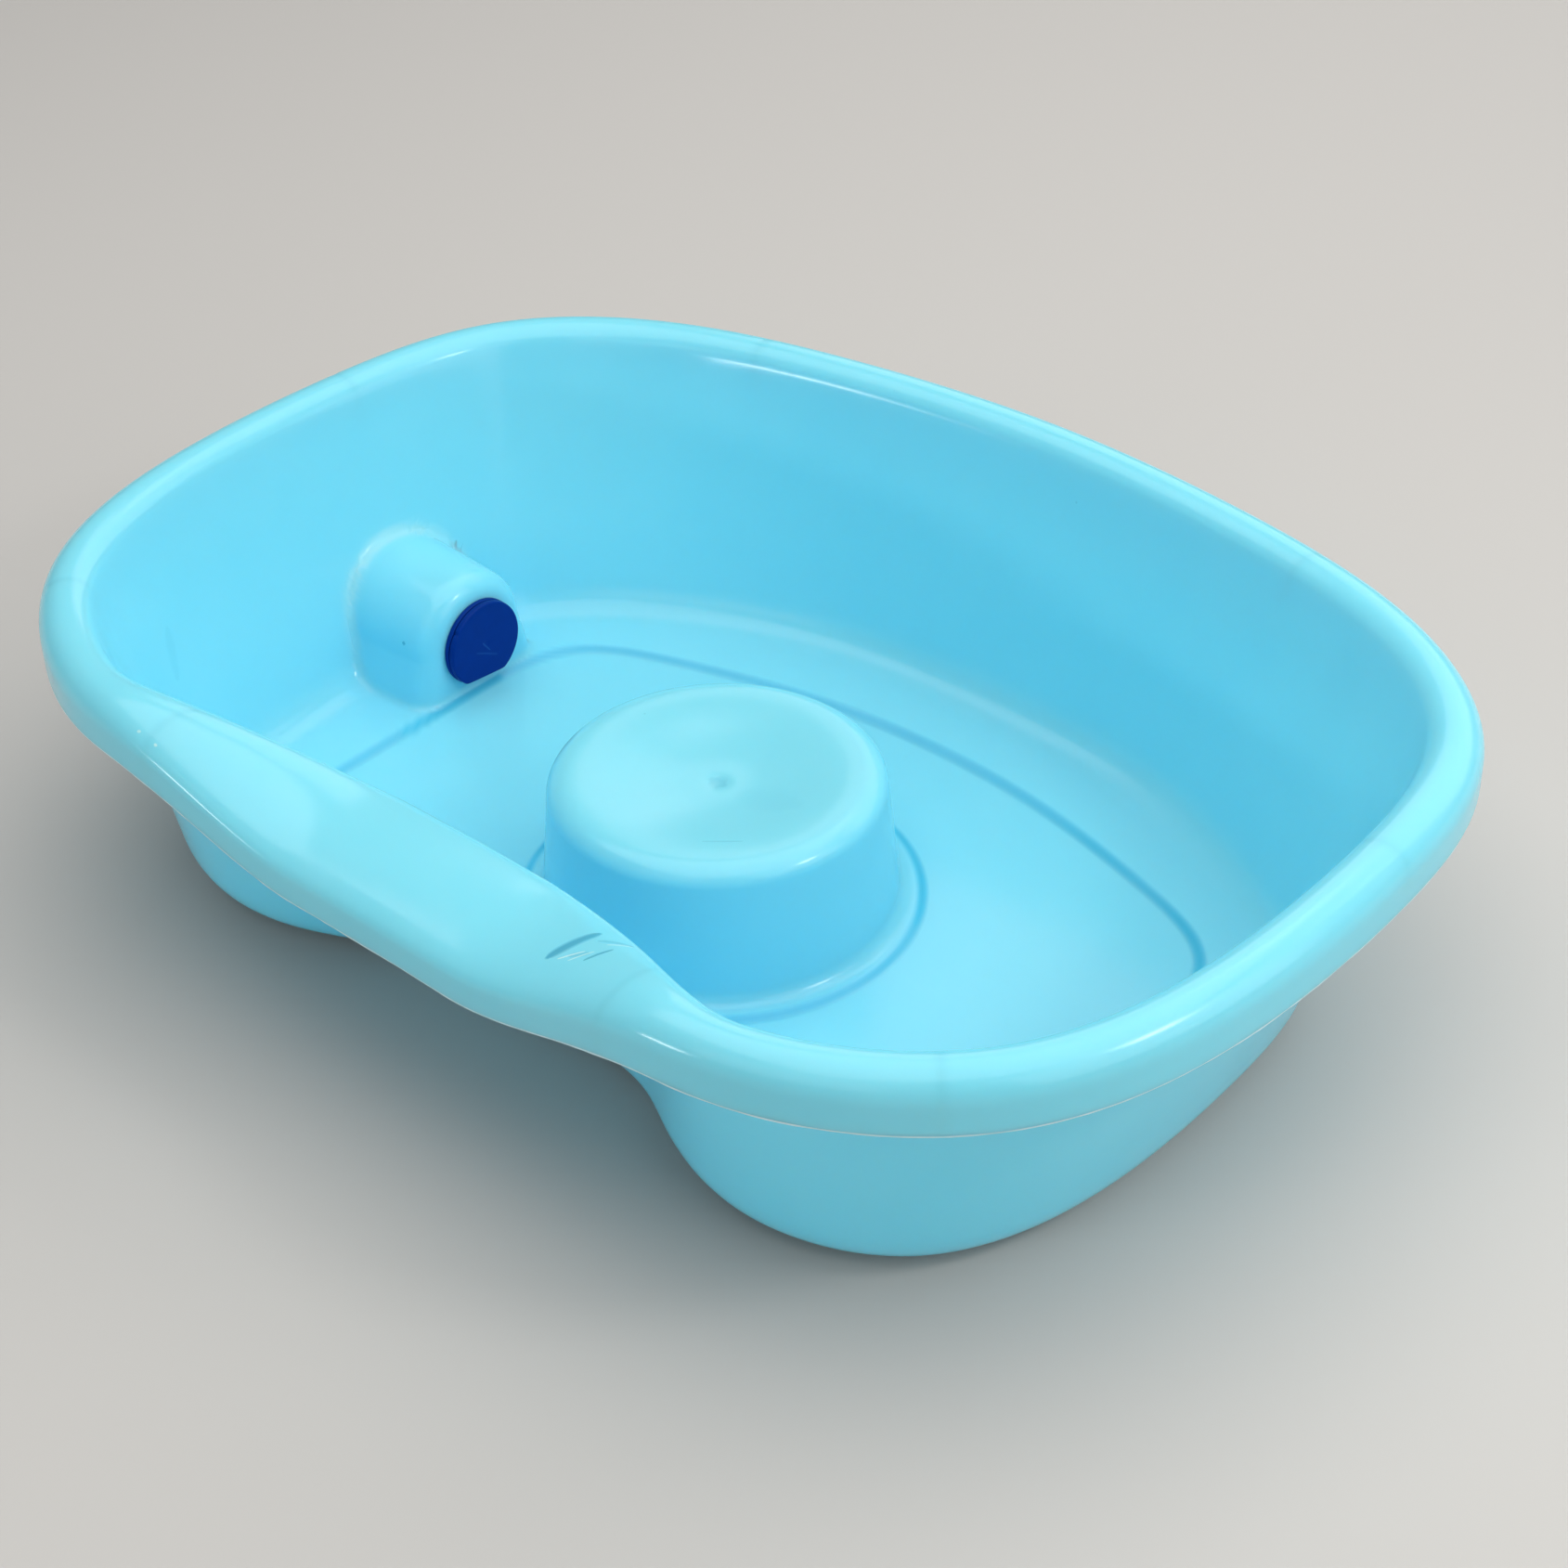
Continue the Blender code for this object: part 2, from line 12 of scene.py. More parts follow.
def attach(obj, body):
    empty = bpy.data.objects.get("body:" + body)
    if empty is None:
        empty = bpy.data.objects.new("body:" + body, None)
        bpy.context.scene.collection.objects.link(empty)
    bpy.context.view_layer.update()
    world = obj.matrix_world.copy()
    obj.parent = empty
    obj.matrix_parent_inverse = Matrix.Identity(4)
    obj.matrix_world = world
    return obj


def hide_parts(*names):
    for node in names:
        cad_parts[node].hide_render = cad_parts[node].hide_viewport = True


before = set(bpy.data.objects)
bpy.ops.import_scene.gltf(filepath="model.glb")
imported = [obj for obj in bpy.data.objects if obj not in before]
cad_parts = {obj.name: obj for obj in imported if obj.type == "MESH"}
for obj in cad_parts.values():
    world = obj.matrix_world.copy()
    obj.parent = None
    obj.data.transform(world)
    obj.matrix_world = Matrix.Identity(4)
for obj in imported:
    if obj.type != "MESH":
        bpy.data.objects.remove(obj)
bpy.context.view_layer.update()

# Basin moulding
# One injection moulding in pale blue polypropylene. A rolled rim dips and widens into the neck rest, and a
# leaning wall runs down to a ledge round the floor, a hollow head rest and an arched boss for the drain.

LENGTH = 0.5998
DEPTH = 0.43248
HEIGHT = 0.1385
WALL = 0.0026
RIM_WIDTH = 0.024
RIM_CROWN = 0.012
BROW_TURN = 0.93
LIP_DROP = 0.0235
LIP_SHARES = (0, 0.25, 0.5, 0.75)
NECK_WIDTH = 0.0635
NECK_END = 0.180
NECK_LEVEL = 0.036
NECK_LIP_DROP = 0.0225
DIP = 0.024
DIP_END = 0.155
DIP_LEVEL = 0.042
FOOT_FILLET = 0.020
FOOT_FILLET_LIMIT = 0.9
LEDGE_RISE = 0.0022
LEDGE_RUN = 0.008
LEDGE_RUN_LIMIT = 0.33
FLOOR_ROW_SHARE = 0.24
HEAD_BACK = 0.0197
HEAD_HEIGHT = 0.0656
HEAD_RADIUS = 0.0730
HEAD_DRAFT = 0.0045
HEAD_EDGE = 0.0085
HEAD_ROLL = 0.0110
HEAD_DISH = 0.0060
DISH_FLAT_SHARE = 0.15
DISH_RADII = (
    *np.linspace(0.0585, 0.0095, 15), 0.0080, 0.0066, 0.0058, 0.0051, 0.0045, 0.0038, 0.0028, 0.0014,
)
HEAD_FILLET = 0.0065
COLLAR_RADIUS = 0.0907
COLLAR_RISE = 0.0018
COLLAR_RUN = 0.0065
GATE_RADIUS = 0.0052
GATE_DEPTH = 0.0007
SINK_WIDTH = 0.0022
SINK_DEPTH = 0.00012
SINK_FADE_ROWS = 6
FLOOR = WALL
LEDGE = FLOOR + LEDGE_RISE
HEAD_TOP = FLOOR + HEAD_HEIGHT
STATIONS = 288
CROWN_ROWS = 24
WALL_ROWS = 11
FOOT_ROWS = 12
LEDGE_ROWS = 11
RIB_SHARES = (0.107, 0.212, 0.320, 0.434, 0.566, 0.680, 0.788, 0.893)
RIM_SHARES = (
    (0.000, -0.988), (0.203, -0.992), (0.362, -0.997), (0.522, -1.008), (0.697, -0.945), (0.894, -0.749),
    (0.998, -0.394), (1.006, 0.155), (0.964, 0.583), (0.713, 0.857), (0.379, 0.963), (0.000, 1.020),
)
FOOT_SHARES = (
    (0.000, -0.608), (0.205, -0.615), (0.279, -0.669), (0.337, -0.727), (0.494, -0.800), (0.716, -0.690),
    (0.812, -0.360), (0.812, 0.086), (0.787, 0.384), (0.574, 0.614), (0.290, 0.776), (0.000, 0.783),
)
STEP_SHARES = (
    (0.000, -0.551), (0.152, -0.552), (0.284, -0.556), (0.422, -0.615), (0.527, -0.622), (0.666, -0.488),
    (0.671, -0.270), (0.670, 0.077), (0.671, 0.381), (0.469, 0.480), (0.233, 0.574), (0.000, 0.598),
)

DRAIN_BACK = 0.0262
DRAIN_HEIGHT = 0.0282
DRAIN_STAND = 0.001
DRAIN_RADIUS = 0.0320
DRAIN_DRAFT = 0.06
DRAIN_FLARE = 0.25
DRAIN_EDGE = 0.010
DRAIN_FILLET = 0.003
BARREL_RADIUS = 0.015
HOLE_RADIUS = BARREL_RADIUS + 0.0004
PATCH_START = 0.63
PATCH_END = 0.7125
SPOKE_POINTS = 17
EVENING_ROUNDS = 40
EVENING_PULL = 0.7
ROW_SPLIT = 3
# These three numbers place a paler line painted along the boss's fillet as a highlight.
FILLET_HIGHLIGHT_WIDTH = 0.0034
FILLET_HIGHLIGHT_START = 0.012
FILLET_HIGHLIGHT_RISE = 0.015
# The next number shapes the painted shade that darkens the small steps' risers.
RISER_SHADE_POWER = 0.7


def outline(shares, at):
    """Points of a closed cubic B-spline at values from 0 to 1, from the front centre round by +X."""
    half = np.array(shares) * (LENGTH / 2, DEPTH / 2)
    points = np.concatenate([half, half[-2:0:-1] * (-1, 1)])
    place = np.asarray(at) % 1 * len(points)
    first = np.floor(place).astype(int)
    f = (place - first)[:, None]
    weights = ((1 - f) ** 3, 3 * f**3 - 6 * f**2 + 4, -3 * f**3 + 3 * f**2 + 3 * f + 1, f**3)
    return sum(w * points[(first + k - 1) % len(points)] for k, w in enumerate(weights)) / 6


def level(plan, height):
    """Plan points raised to a height."""
    return np.column_stack([plan, np.broadcast_to(height, len(plan))])


def toward(start, end):
    """Directions from each start to its end, and the distances."""
    gap = end - start
    size = np.linalg.norm(gap, axis=1)[:, None]
    return gap / size, size


def smooth_step(share):
    share = np.clip(share, 0, 1)
    return share * share * (3 - 2 * share)


def inward(at):
    """Level directions from the rim to the inside, square to it."""
    small = 0.0003
    along, _ = toward(outline(RIM_SHARES, at - small), outline(RIM_SHARES, at + small))
    return np.stack([-along[:, 1], along[:, 0]], axis=1)


def neck_weight(plan, end, flat):
    """One along the flat middle of the front, falling to none at its ends."""
    return np.where(plan[:, 1] < 0, smooth_step((end - np.abs(plan[:, 0])) / (end - flat)), 0)


def rim_rings(at):
    """Rings from the lip's edge over the crown to the brow, where the wall begins."""
    plan = outline(RIM_SHARES, at)
    widen = neck_weight(plan, NECK_END, NECK_LEVEL)
    dip = neck_weight(plan, DIP_END, DIP_LEVEL)
    half_width = (RIM_WIDTH + (NECK_WIDTH - RIM_WIDTH) * widen) / 2
    top = HEIGHT - DIP * dip
    lip = top - LIP_DROP - (NECK_LIP_DROP - LIP_DROP) * dip
    rings = [level(plan, lip + (top - RIM_CROWN - lip) * share) for share in LIP_SHARES]
    for turn in math.pi * np.linspace(0, BROW_TURN, CROWN_ROWS):
        reach = half_width * (1 - math.cos(turn))
        rings.append(level(plan + inward(at) * reach[:, None], top - RIM_CROWN * (1 - math.sin(turn))))
    return rings


def wall_rings(at, brow):
    """Rings from below the brow down the wall and its fillet, over the ledge and onto the floor."""
    corner = level(outline(FOOT_SHARES, at), LEDGE)
    edge = level(outline(STEP_SHARES, at), LEDGE)
    up, wall_size = toward(corner, brow)
    flat, ledge_size = toward(corner, edge)
    half_angle = np.arccos((up * flat).sum(axis=1))[:, None] / 2
    reach = np.minimum(FOOT_FILLET / np.tan(half_angle), ledge_size * FOOT_FILLET_LIMIT)
    rings = []
    for share in np.linspace(0, 1, WALL_ROWS + 2)[1:-1]:
        rings.append(corner + up * (reach + (wall_size - reach) * (1 - share)))
    for share in np.linspace(0, 1, FOOT_ROWS):
        rings.append(corner + up * reach * (1 - share) ** 2 + flat * reach * share**2)
    down, distance = toward(edge, np.array([(0, -HEAD_BACK, LEDGE)]))
    room = distance - COLLAR_RADIUS
    run = np.minimum(LEDGE_RUN, room * LEDGE_RUN_LIMIT)
    for share in np.linspace(0, 1, LEDGE_ROWS):
        rings.append(level((edge + down * run * share)[:, :2], LEDGE - LEDGE_RISE * smooth_step(share)))
    rings.append(level((edge + down * (run + (room - run) * FLOOR_ROW_SHARE))[:, :2], FLOOR))
    return rings


def shell_rings(at):
    """All rings outside the head rest, with the brow softened, and the brow's place among them."""
    rings = rim_rings(at)
    brow = len(rings) - 1
    rings = np.array(rings + wall_rings(at, rings[-1]))
    for _ in range(3):
        rings[brow - 2:brow + 3] = (
            rings[brow - 3:brow + 2] + 2 * rings[brow - 2:brow + 3] + rings[brow - 1:brow + 4]
        ) / 4
    return rings, brow


def head_rings(at):
    """Rings from the collar up the head rest to the round gate mark at the middle of its top."""
    collar = FLOOR + COLLAR_RISE
    foot = HEAD_RADIUS + HEAD_DRAFT
    high = HEAD_TOP - HEAD_EDGE
    points = []
    for share in np.linspace(0, 1, 7):
        points.append((COLLAR_RADIUS - COLLAR_RUN * share, FLOOR + COLLAR_RISE * smooth_step(share)))
    for turn in np.radians(np.linspace(0, 90, 8)):
        radius = foot + HEAD_FILLET * (1 - math.sin(turn))
        points.append((radius, collar + HEAD_FILLET * (1 - math.cos(turn))))
    for share in np.linspace(0, 1, 8)[1:-1]:
        height = collar + HEAD_FILLET + (high - collar - HEAD_FILLET) * share
        points.append((foot + (HEAD_RADIUS - foot) * share, height))
    for turn in np.radians(np.linspace(0, 90, 14)):
        points.append((HEAD_RADIUS - HEAD_ROLL * (1 - math.cos(turn)), high + HEAD_EDGE * math.sin(turn)))
    for radius in DISH_RADII:
        rise = max((radius / (HEAD_RADIUS - HEAD_ROLL) - DISH_FLAT_SHARE) / (1 - DISH_FLAT_SHARE), 0)
        dish = HEAD_DISH * (1 - rise**2) ** 2
        gate = GATE_DEPTH * math.exp(-((radius / GATE_RADIUS) ** 3))
        points.append((radius, HEAD_TOP - dish - gate))
    turns = at * math.tau - math.pi / 2
    around = np.stack([np.cos(turns), np.sin(turns)], axis=1)
    return np.array([level(around * radius - (0, HEAD_BACK), height) for radius, height in points])


def sunk(rings, at, last):
    """Draws the rim in a little over each rib, as the thick spot does when it cools, and says by how much,
    which also sets the painted shade over each sink mark.
    """
    steps = np.linalg.norm(np.diff(outline(RIM_SHARES, np.append(at, at[0])), axis=0), axis=1)
    length = np.concatenate([[0], np.cumsum(steps)])
    beside = np.zeros(len(at))
    for rib in RIB_SHARES:
        gap = length[:-1] - np.interp(rib, np.append(at, 1.0), length)
        beside = np.maximum(beside, np.exp(-((gap / SINK_WIDTH) ** 2)))
    rows = np.arange(len(rings))[:, None]
    from_lip = np.clip((rows - len(LIP_SHARES)) / SINK_FADE_ROWS, 0, 1)
    from_brow = np.clip((last - rows) / SINK_FADE_ROWS, 0, 1)
    share = beside * from_lip * from_brow
    rings[:, :, 2] -= share * SINK_DEPTH
    return share


def drain_centre():
    """Where the drain's axis meets the face of its boss."""
    step = outline(STEP_SHARES, np.linspace(0.5, 1, 320))
    nearest = np.argmin(np.abs(step[:, 1] - DRAIN_BACK))
    return np.array((step[nearest, 0] + DRAIN_STAND, DRAIN_BACK, DRAIN_HEIGHT))


drain = drain_centre()


def arch_gap(points):
    """Signed distance to the arch, which widens to wall and floor and has a rounded front edge."""
    radius = DRAIN_RADIUS + DRAIN_DRAFT * (drain[0] - points[:, 0])
    radius += DRAIN_FLARE * np.maximum(drain[2] - points[:, 2], 0)
    high = np.maximum(points[:, 2] - drain[2], 0)
    side = np.hypot(points[:, 1] - drain[1], high) - radius + DRAIN_EDGE
    front = points[:, 0] - drain[0] + DRAIN_EDGE
    inside = np.minimum(np.maximum(side, front), 0)
    return inside + np.hypot(np.maximum(side, 0), np.maximum(front, 0)) - DRAIN_EDGE


def skin_gap(points, skin):
    """Signed distance to the skin as it would be without the boss, and its slope."""
    gaps = np.empty(len(points))
    slopes = np.empty((len(points), 3))
    for k, point in enumerate(points):
        place, normal, _, _ = skin.find_nearest(point)
        gap = Vector(point) - place
        gaps[k] = math.copysign(gap.length, gap.dot(normal))
        slopes[k] = normal
    return gaps, slopes


def onto_boss(points, skin):
    """Moves points onto the skin and the arch, joined by a small fillet."""
    small = 1e-5
    shape = points.shape
    points = points.reshape(-1, 3)
    for _ in range(3):
        base, base_slope = skin_gap(points, skin)
        arch = arch_gap(points)
        moved = [arch_gap(points + step) for step in np.eye(3) * small]
        arch_slope = np.stack([(gap - arch) / small for gap in moved], axis=1)
        u = np.maximum(DRAIN_FILLET - base, 0)
        v = np.maximum(DRAIN_FILLET - arch, 0)
        size = np.hypot(u, v)
        gap = np.maximum(DRAIN_FILLET, np.minimum(base, arch)) - size
        slope = (base_slope * u[:, None] + arch_slope * v[:, None]) / np.maximum(size, 1e-9)[:, None]
        points = points - slope * (gap / np.maximum((slope**2).sum(axis=1), 0.25))[:, None]
        points[:, 2] = np.maximum(points[:, 2], FLOOR)
    return points.reshape(shape)


def spread(path, count):
    """Evenly spaced points along a path."""
    path = np.array([tuple(point) for point in path])
    length = np.concatenate([[0], np.cumsum(np.linalg.norm(np.diff(path, axis=0), axis=1))])
    at = np.linspace(0, length[-1], count)
    return np.stack([np.interp(at, length, path[:, k]) for k in range(3)], axis=1)


def boss_rows(border, skin):
    """Rows from the opening in the skin to the fitting's hole, evened out over the surface of the boss."""
    seen = np.unwrap(np.arctan2(border[:, 2] - drain[2], border[:, 1] - drain[1]))
    even = math.copysign(math.tau, seen[-1] - seen[0]) * np.arange(len(border)) / len(border)
    even += np.mean(seen - even)
    spokes = []
    for point, angle in zip(border, even):
        side, rise = abs(math.cos(angle)), math.sin(angle)
        size = DRAIN_RADIUS
        # Below the axis the outline runs out along the flare, and then along the floor.
        if rise < 0:
            down = (drain[2] - FLOOR) / -rise
            wide = DRAIN_RADIUS + DRAIN_FLARE * (drain[2] - FLOOR)
            size = down if side * down < wide else DRAIN_RADIUS / (side + DRAIN_FLARE * rise)
        way = np.array((0, math.cos(angle), rise))
        edge = drain + way * size
        foot = skin.ray_cast(Vector(edge), Vector((-1, 0, 0)))[0] or edge
        spokes.append(spread([point, foot, edge, drain + way * HOLE_RADIUS], SPOKE_POINTS))
    rows = np.array(spokes).transpose(1, 0, 2)
    for _ in range(EVENING_ROUNDS):
        mean = (rows[:-2] + rows[2:] + np.roll(rows, 1, 1)[1:-1] + np.roll(rows, -1, 1)[1:-1]) / 4
        rows[1:-1] = onto_boss(rows[1:-1] + EVENING_PULL * (mean - rows[1:-1]), skin)
    at = np.linspace(0, len(rows) - 1, (len(rows) - 1) * ROW_SPLIT + 1)
    low = np.minimum(at.astype(int), len(rows) - 2)
    part = (at - low)[:, None, None]
    rows = rows[low] * (1 - part) + rows[low + 1] * part
    for _ in range(4):
        rows[1:-1] = onto_boss((rows[:-2] + 2 * rows[1:-1] + rows[2:]) / 4, skin)
    return rows


def quads(first, second):
    """Faces between two closed rows of point numbers."""
    after = np.roll(first, -1)
    beyond = np.roll(second, -1)
    return [tuple(int(k) for k in face) for face in zip(first, after, beyond, second)]


def riser_shade_share(points, rise):
    """How near each point is to the middle of the small step of this height above the floor, which sets the
    painted shade on its riser.
    """
    up = np.clip((points[:, 2] - FLOOR) / rise, 0, 1)
    return (4 * up * (1 - up)) ** RISER_SHADE_POWER


def fillet_highlight_share(points, skin):
    """How near each point is to the middle of the fillet between the wall and the arch, above the floor,
    which sets a painted highlight along that fillet.
    """
    base, _ = skin_gap(points, skin)
    high = np.clip((points[:, 2] - FILLET_HIGHLIGHT_START) / FILLET_HIGHLIGHT_RISE, 0, 1)
    return high * np.exp(-(((base - arch_gap(points)) / FILLET_HIGHLIGHT_WIDTH) ** 2))


def basin_mesh(at):
    """The moulding's seen side as one open skin, from the lip to the middle of the head rest."""
    rings, brow = shell_rings(at)
    sinking = sunk(rings, at, brow)
    count = len(at)
    index = np.arange(len(rings) * count).reshape(len(rings), count)
    points = rings.reshape(-1, 3)
    strips = [quads(index[row], index[row + 1]) for row in range(len(rings) - 1)]
    skin = BVHTree.FromPolygons(points.tolist(), [face for strip in strips for face in strip])
    left, right = np.searchsorted(at, (PATCH_START, PATCH_END))
    faces = []
    for row, strip in enumerate(strips):
        faces += [face for column, face in enumerate(strip) if row < brow or not left <= column < right]
    border = np.concatenate([
        index[brow, left:right], index[brow:-1, right], index[-1, right:left:-1], index[:brow:-1, left],
    ])
    parts = [points]
    riser_shades = [riser_shade_share(points, LEDGE_RISE)]
    total = len(points)
    boss = boss_rows(points[border], skin)[1:]
    for opening, made, rise in ((border, boss, LEDGE_RISE), (index[-1], head_rings(at), COLLAR_RISE)):
        for row in made:
            following = np.arange(total, total + len(row))
            faces += quads(opening, following)
            parts.append(row)
            riser_shades.append(riser_shade_share(row, rise))
            total += len(row)
            opening = following
    parts.append(np.array([(0, -HEAD_BACK, HEAD_TOP - HEAD_DISH - GATE_DEPTH)]))
    faces += [(int(first), int(after), total) for first, after in zip(opening, np.roll(opening, -1))]
    mesh = bpy.data.meshes.new("basin_moulding")
    mesh.from_pydata(np.concatenate(parts).tolist(), [], faces)
    # A paler line is painted along the boss's fillet as a highlight.
    fillet = fillet_highlight_share(boss.reshape(-1, 3), skin)
    # The rib sink and step riser shares set painted shade, and the boss fillet share sets a painted
    # highlight.
    shares = (
        ("rib_sink_shade", 0, sinking.reshape(-1)),
        ("step_riser_shade", 0, np.concatenate(riser_shades)),
        ("boss_fillet_highlight", len(points), fillet),
    )
    for name, start, share in shares:
        values = np.zeros(total + 1)
        values[start:start + len(share)] = share
        mesh.attributes.new(name, "FLOAT", "POINT").data.foreach_set("value", values)
    work = bmesh.new()
    work.from_mesh(mesh)
    bmesh.ops.delete(work, geom=[vert for vert in work.verts if not vert.link_faces], context="VERTS")
    bmesh.ops.recalc_face_normals(work, faces=work.faces)
    if max(work.faces, key=lambda face: face.calc_center_median().z).normal.z < 0:
        bmesh.ops.reverse_faces(work, faces=work.faces)
    work.to_mesh(mesh)
    work.free()
    return mesh


def add_node(tree, kind, wires=(), **settings):
    """One node, with its settings, and its inputs wired to sockets or set to values."""
    made = tree.nodes.new(kind)
    for name, value in settings.items():
        setattr(made, name, value)
    for key, value in dict(wires).items():
        if isinstance(value, bpy.types.NodeSocket):
            tree.links.new(value, made.inputs[key])
        else:
            made.inputs[key].default_value = value
    return made


def maths(tree, operation, *values, clamp=False):
    made = add_node(tree, "ShaderNodeMath", enumerate(values), operation=operation, use_clamp=clamp)
    return made.outputs[0]


def vector_maths(tree, operation, *values):
    made = add_node(tree, "ShaderNodeVectorMath", enumerate(values), operation=operation)
    return made.outputs["Value" if operation in ("DOT_PRODUCT", "LENGTH", "DISTANCE") else "Vector"]


def mixed(tree, factor, first, second):
    """A colour between two others, each a socket or three numbers."""
    colours = {6: first, 7: second}
    wires = {key: (*value, 1.0) if isinstance(value, tuple) else value for key, value in colours.items()}
    return add_node(tree, "ShaderNodeMix", {0: factor, **wires}, data_type="RGBA").outputs[2]


def shader_group(name, inputs, outputs):
    """An empty shader group that takes a Vector and these inputs."""
    group = bpy.data.node_groups.new(name, "ShaderNodeTree")
    group.interface.new_socket("Vector", in_out="INPUT", socket_type="NodeSocketVector")
    for title, value in inputs.items():
        kind = "NodeSocketFloat" if isinstance(value, float) else "NodeSocketVector"
        group.interface.new_socket(title, in_out="INPUT", socket_type=kind).default_value = value
    for title in outputs:
        group.interface.new_socket(title, in_out="OUTPUT", socket_type="NodeSocketFloat")
    return group, group.nodes.new("NodeGroupInput").outputs, group.nodes.new("NodeGroupOutput").inputs


def speck_group():
    """Small specks of dirt and dust, thinly scattered."""
    inputs = {"Spacing": 0.02, "Share": 0.3, "Size": 0.0006}
    group, given, gives = shader_group("fine_specks", inputs, ["Mask"])
    scale = maths(group, "DIVIDE", 1.0, given["Spacing"])
    cells = add_node(group, "ShaderNodeTexVoronoi", {"Vector": given["Vector"], "Scale": scale})
    distance = maths(group, "MULTIPLY", cells.outputs["Distance"], given["Spacing"])
    pick = add_node(group, "ShaderNodeSeparateColor", {"Color": cells.outputs["Color"]})
    chosen = maths(group, "LESS_THAN", pick.outputs["Red"], given["Share"])
    reach = maths(group, "MULTIPLY", given["Size"], pick.outputs["Green"])
    inside = maths(group, "SUBTRACT", 1.0, maths(group, "DIVIDE", distance, reach), clamp=True)
    group.links.new(maths(group, "MULTIPLY", chosen, inside), gives["Mask"])
    return group


def stroke_group():
    """A crease or scratch: a mask about the line between two points, widest at its middle."""
    inputs = {"Start": (0, 0, 0), "End": (0, 0, 0), "Weights": (1, 1, 1), "Width": 0.001}
    group, given, gives = shader_group("crease_stroke", inputs, ["Mask"])
    line = vector_maths(group, "SUBTRACT", given["End"], given["Start"])
    line = vector_maths(group, "MULTIPLY", line, given["Weights"])
    gap = vector_maths(group, "SUBTRACT", given["Vector"], given["Start"])
    gap = vector_maths(group, "MULTIPLY", gap, given["Weights"])
    length = vector_maths(group, "DOT_PRODUCT", line, line)
    share = maths(group, "DIVIDE", vector_maths(group, "DOT_PRODUCT", gap, line), length, clamp=True)
    reached = add_node(group, "ShaderNodeVectorMath", {0: line, "Scale": share}, operation="SCALE")
    across = vector_maths(group, "DISTANCE", gap, reached.outputs["Vector"])
    rest = maths(group, "SUBTRACT", 1.0, share)
    swell = maths(group, "POWER", maths(group, "MULTIPLY_ADD", share, rest, 0.01), 0.25)
    width = maths(group, "MULTIPLY", given["Width"], swell)
    fade = maths(group, "SUBTRACT", 1.0, maths(group, "DIVIDE", across, width), clamp=True)
    group.links.new(maths(group, "MINIMUM", maths(group, "MULTIPLY", fade, 1.6), 1.0), gives["Mask"])
    return group


def face_group():
    """A moulded face: its height from broad waves and a fine grain, and where it has been rubbed."""
    inputs = {"Wave Scale": 9.0, "Grain Scale": 1100.0, "Grain": 0.01, "Rub Scale": 30.0}
    group, given, gives = shader_group("moulded_face", inputs, ["Height", "Rub"])
    noises = []
    for scale, detail in (("Wave Scale", 1.0), ("Grain Scale", 2.0), ("Rub Scale", 5.0)):
        wires = {"Vector": given["Vector"], "Scale": given[scale], "Detail": detail}
        noises.append(add_node(group, "ShaderNodeTexNoise", wires).outputs["Fac"])
    wave, grain, rub = noises
    group.links.new(maths(group, "MULTIPLY_ADD", grain, given["Grain"], wave), gives["Height"])
    group.links.new(rub, gives["Rub"])
    return group


specks = speck_group()
stroke = stroke_group()
moulded_face = face_group()


def placed(tree, group, vector, **values):
    """One use of a shader group, on Object coordinates, with its own values."""
    made = add_node(tree, "ShaderNodeGroup", node_tree=group)
    tree.links.new(vector, made.inputs["Vector"])
    for name, value in values.items():
        made.inputs[name.replace("_", " ")].default_value = value
    return made.outputs


def new_material(name, **shader_values):
    made = bpy.data.materials.new(name)
    made.use_nodes = True
    tree = made.node_tree
    shader = tree.nodes["Principled BSDF"]
    for key, value in shader_values.items():
        shader.inputs[key.replace("_", " ")].default_value = value
    return made, tree, shader, add_node(tree, "ShaderNodeTexCoord").outputs["Object"]


FROM_ABOVE = (1, 1, 0.1)
FROM_THE_SIDE = (0.1, 1, 1)
CREASE_DEPTH = 0.12
# Each crease: start, end, how much X, Y and Z count in the distance to it, width and strength.
CREASE_SHADE_AND_MARKS = (
    # The first four paint shade into the folds at the neck rest's right end; their dents come from the bump.
    ((0.0834, -0.1974, 0.1205), (0.0886, -0.1768, 0.1212), FROM_ABOVE, 0.0050, 1.0),
    ((0.0997, -0.1950, 0.1262), (0.1039, -0.1846, 0.1265), FROM_ABOVE, 0.0014, 0.9),
    ((0.0913, -0.1943, 0.1234), (0.0976, -0.1908, 0.1259), FROM_ABOVE, 0.0032, 0.35),
    ((0.0936, -0.1816, 0.1233), (0.1060, -0.1765, 0.1239), FROM_ABOVE, 0.0022, 0.45),
    # A scratch, a darker round patch over the gate mark, and a soft painted shade on the head rest's top.
    ((0.0285, -0.0593, 0.0670), (0.0412, -0.0489, 0.0672), FROM_ABOVE, 0.0012, 0.25),
    ((-0.0030, -0.0197, 0.0622), (0.0030, -0.0197, 0.0622), FROM_ABOVE, 0.0075, 0.30),
    ((0.0150, -0.0200, 0.0640), (0.0390, -0.0140, 0.0640), FROM_ABOVE, 0.0160, 0.07),
    # Two dirt specks on the boss and a faint darker streak down the left wall.
    ((-0.2168, -0.0059, 0.0355), (-0.2156, -0.0059, 0.0355), (1, 1, 1), 0.0020, 0.90),
    ((-0.2038, 0.0000, 0.0348), (-0.2026, 0.0000, 0.0348), (1, 1, 1), 0.0028, 1.00),
    ((-0.2482, -0.1133, 0.0833), (-0.2406, -0.1170, 0.0620), FROM_THE_SIDE, 0.0055, 0.10),
)
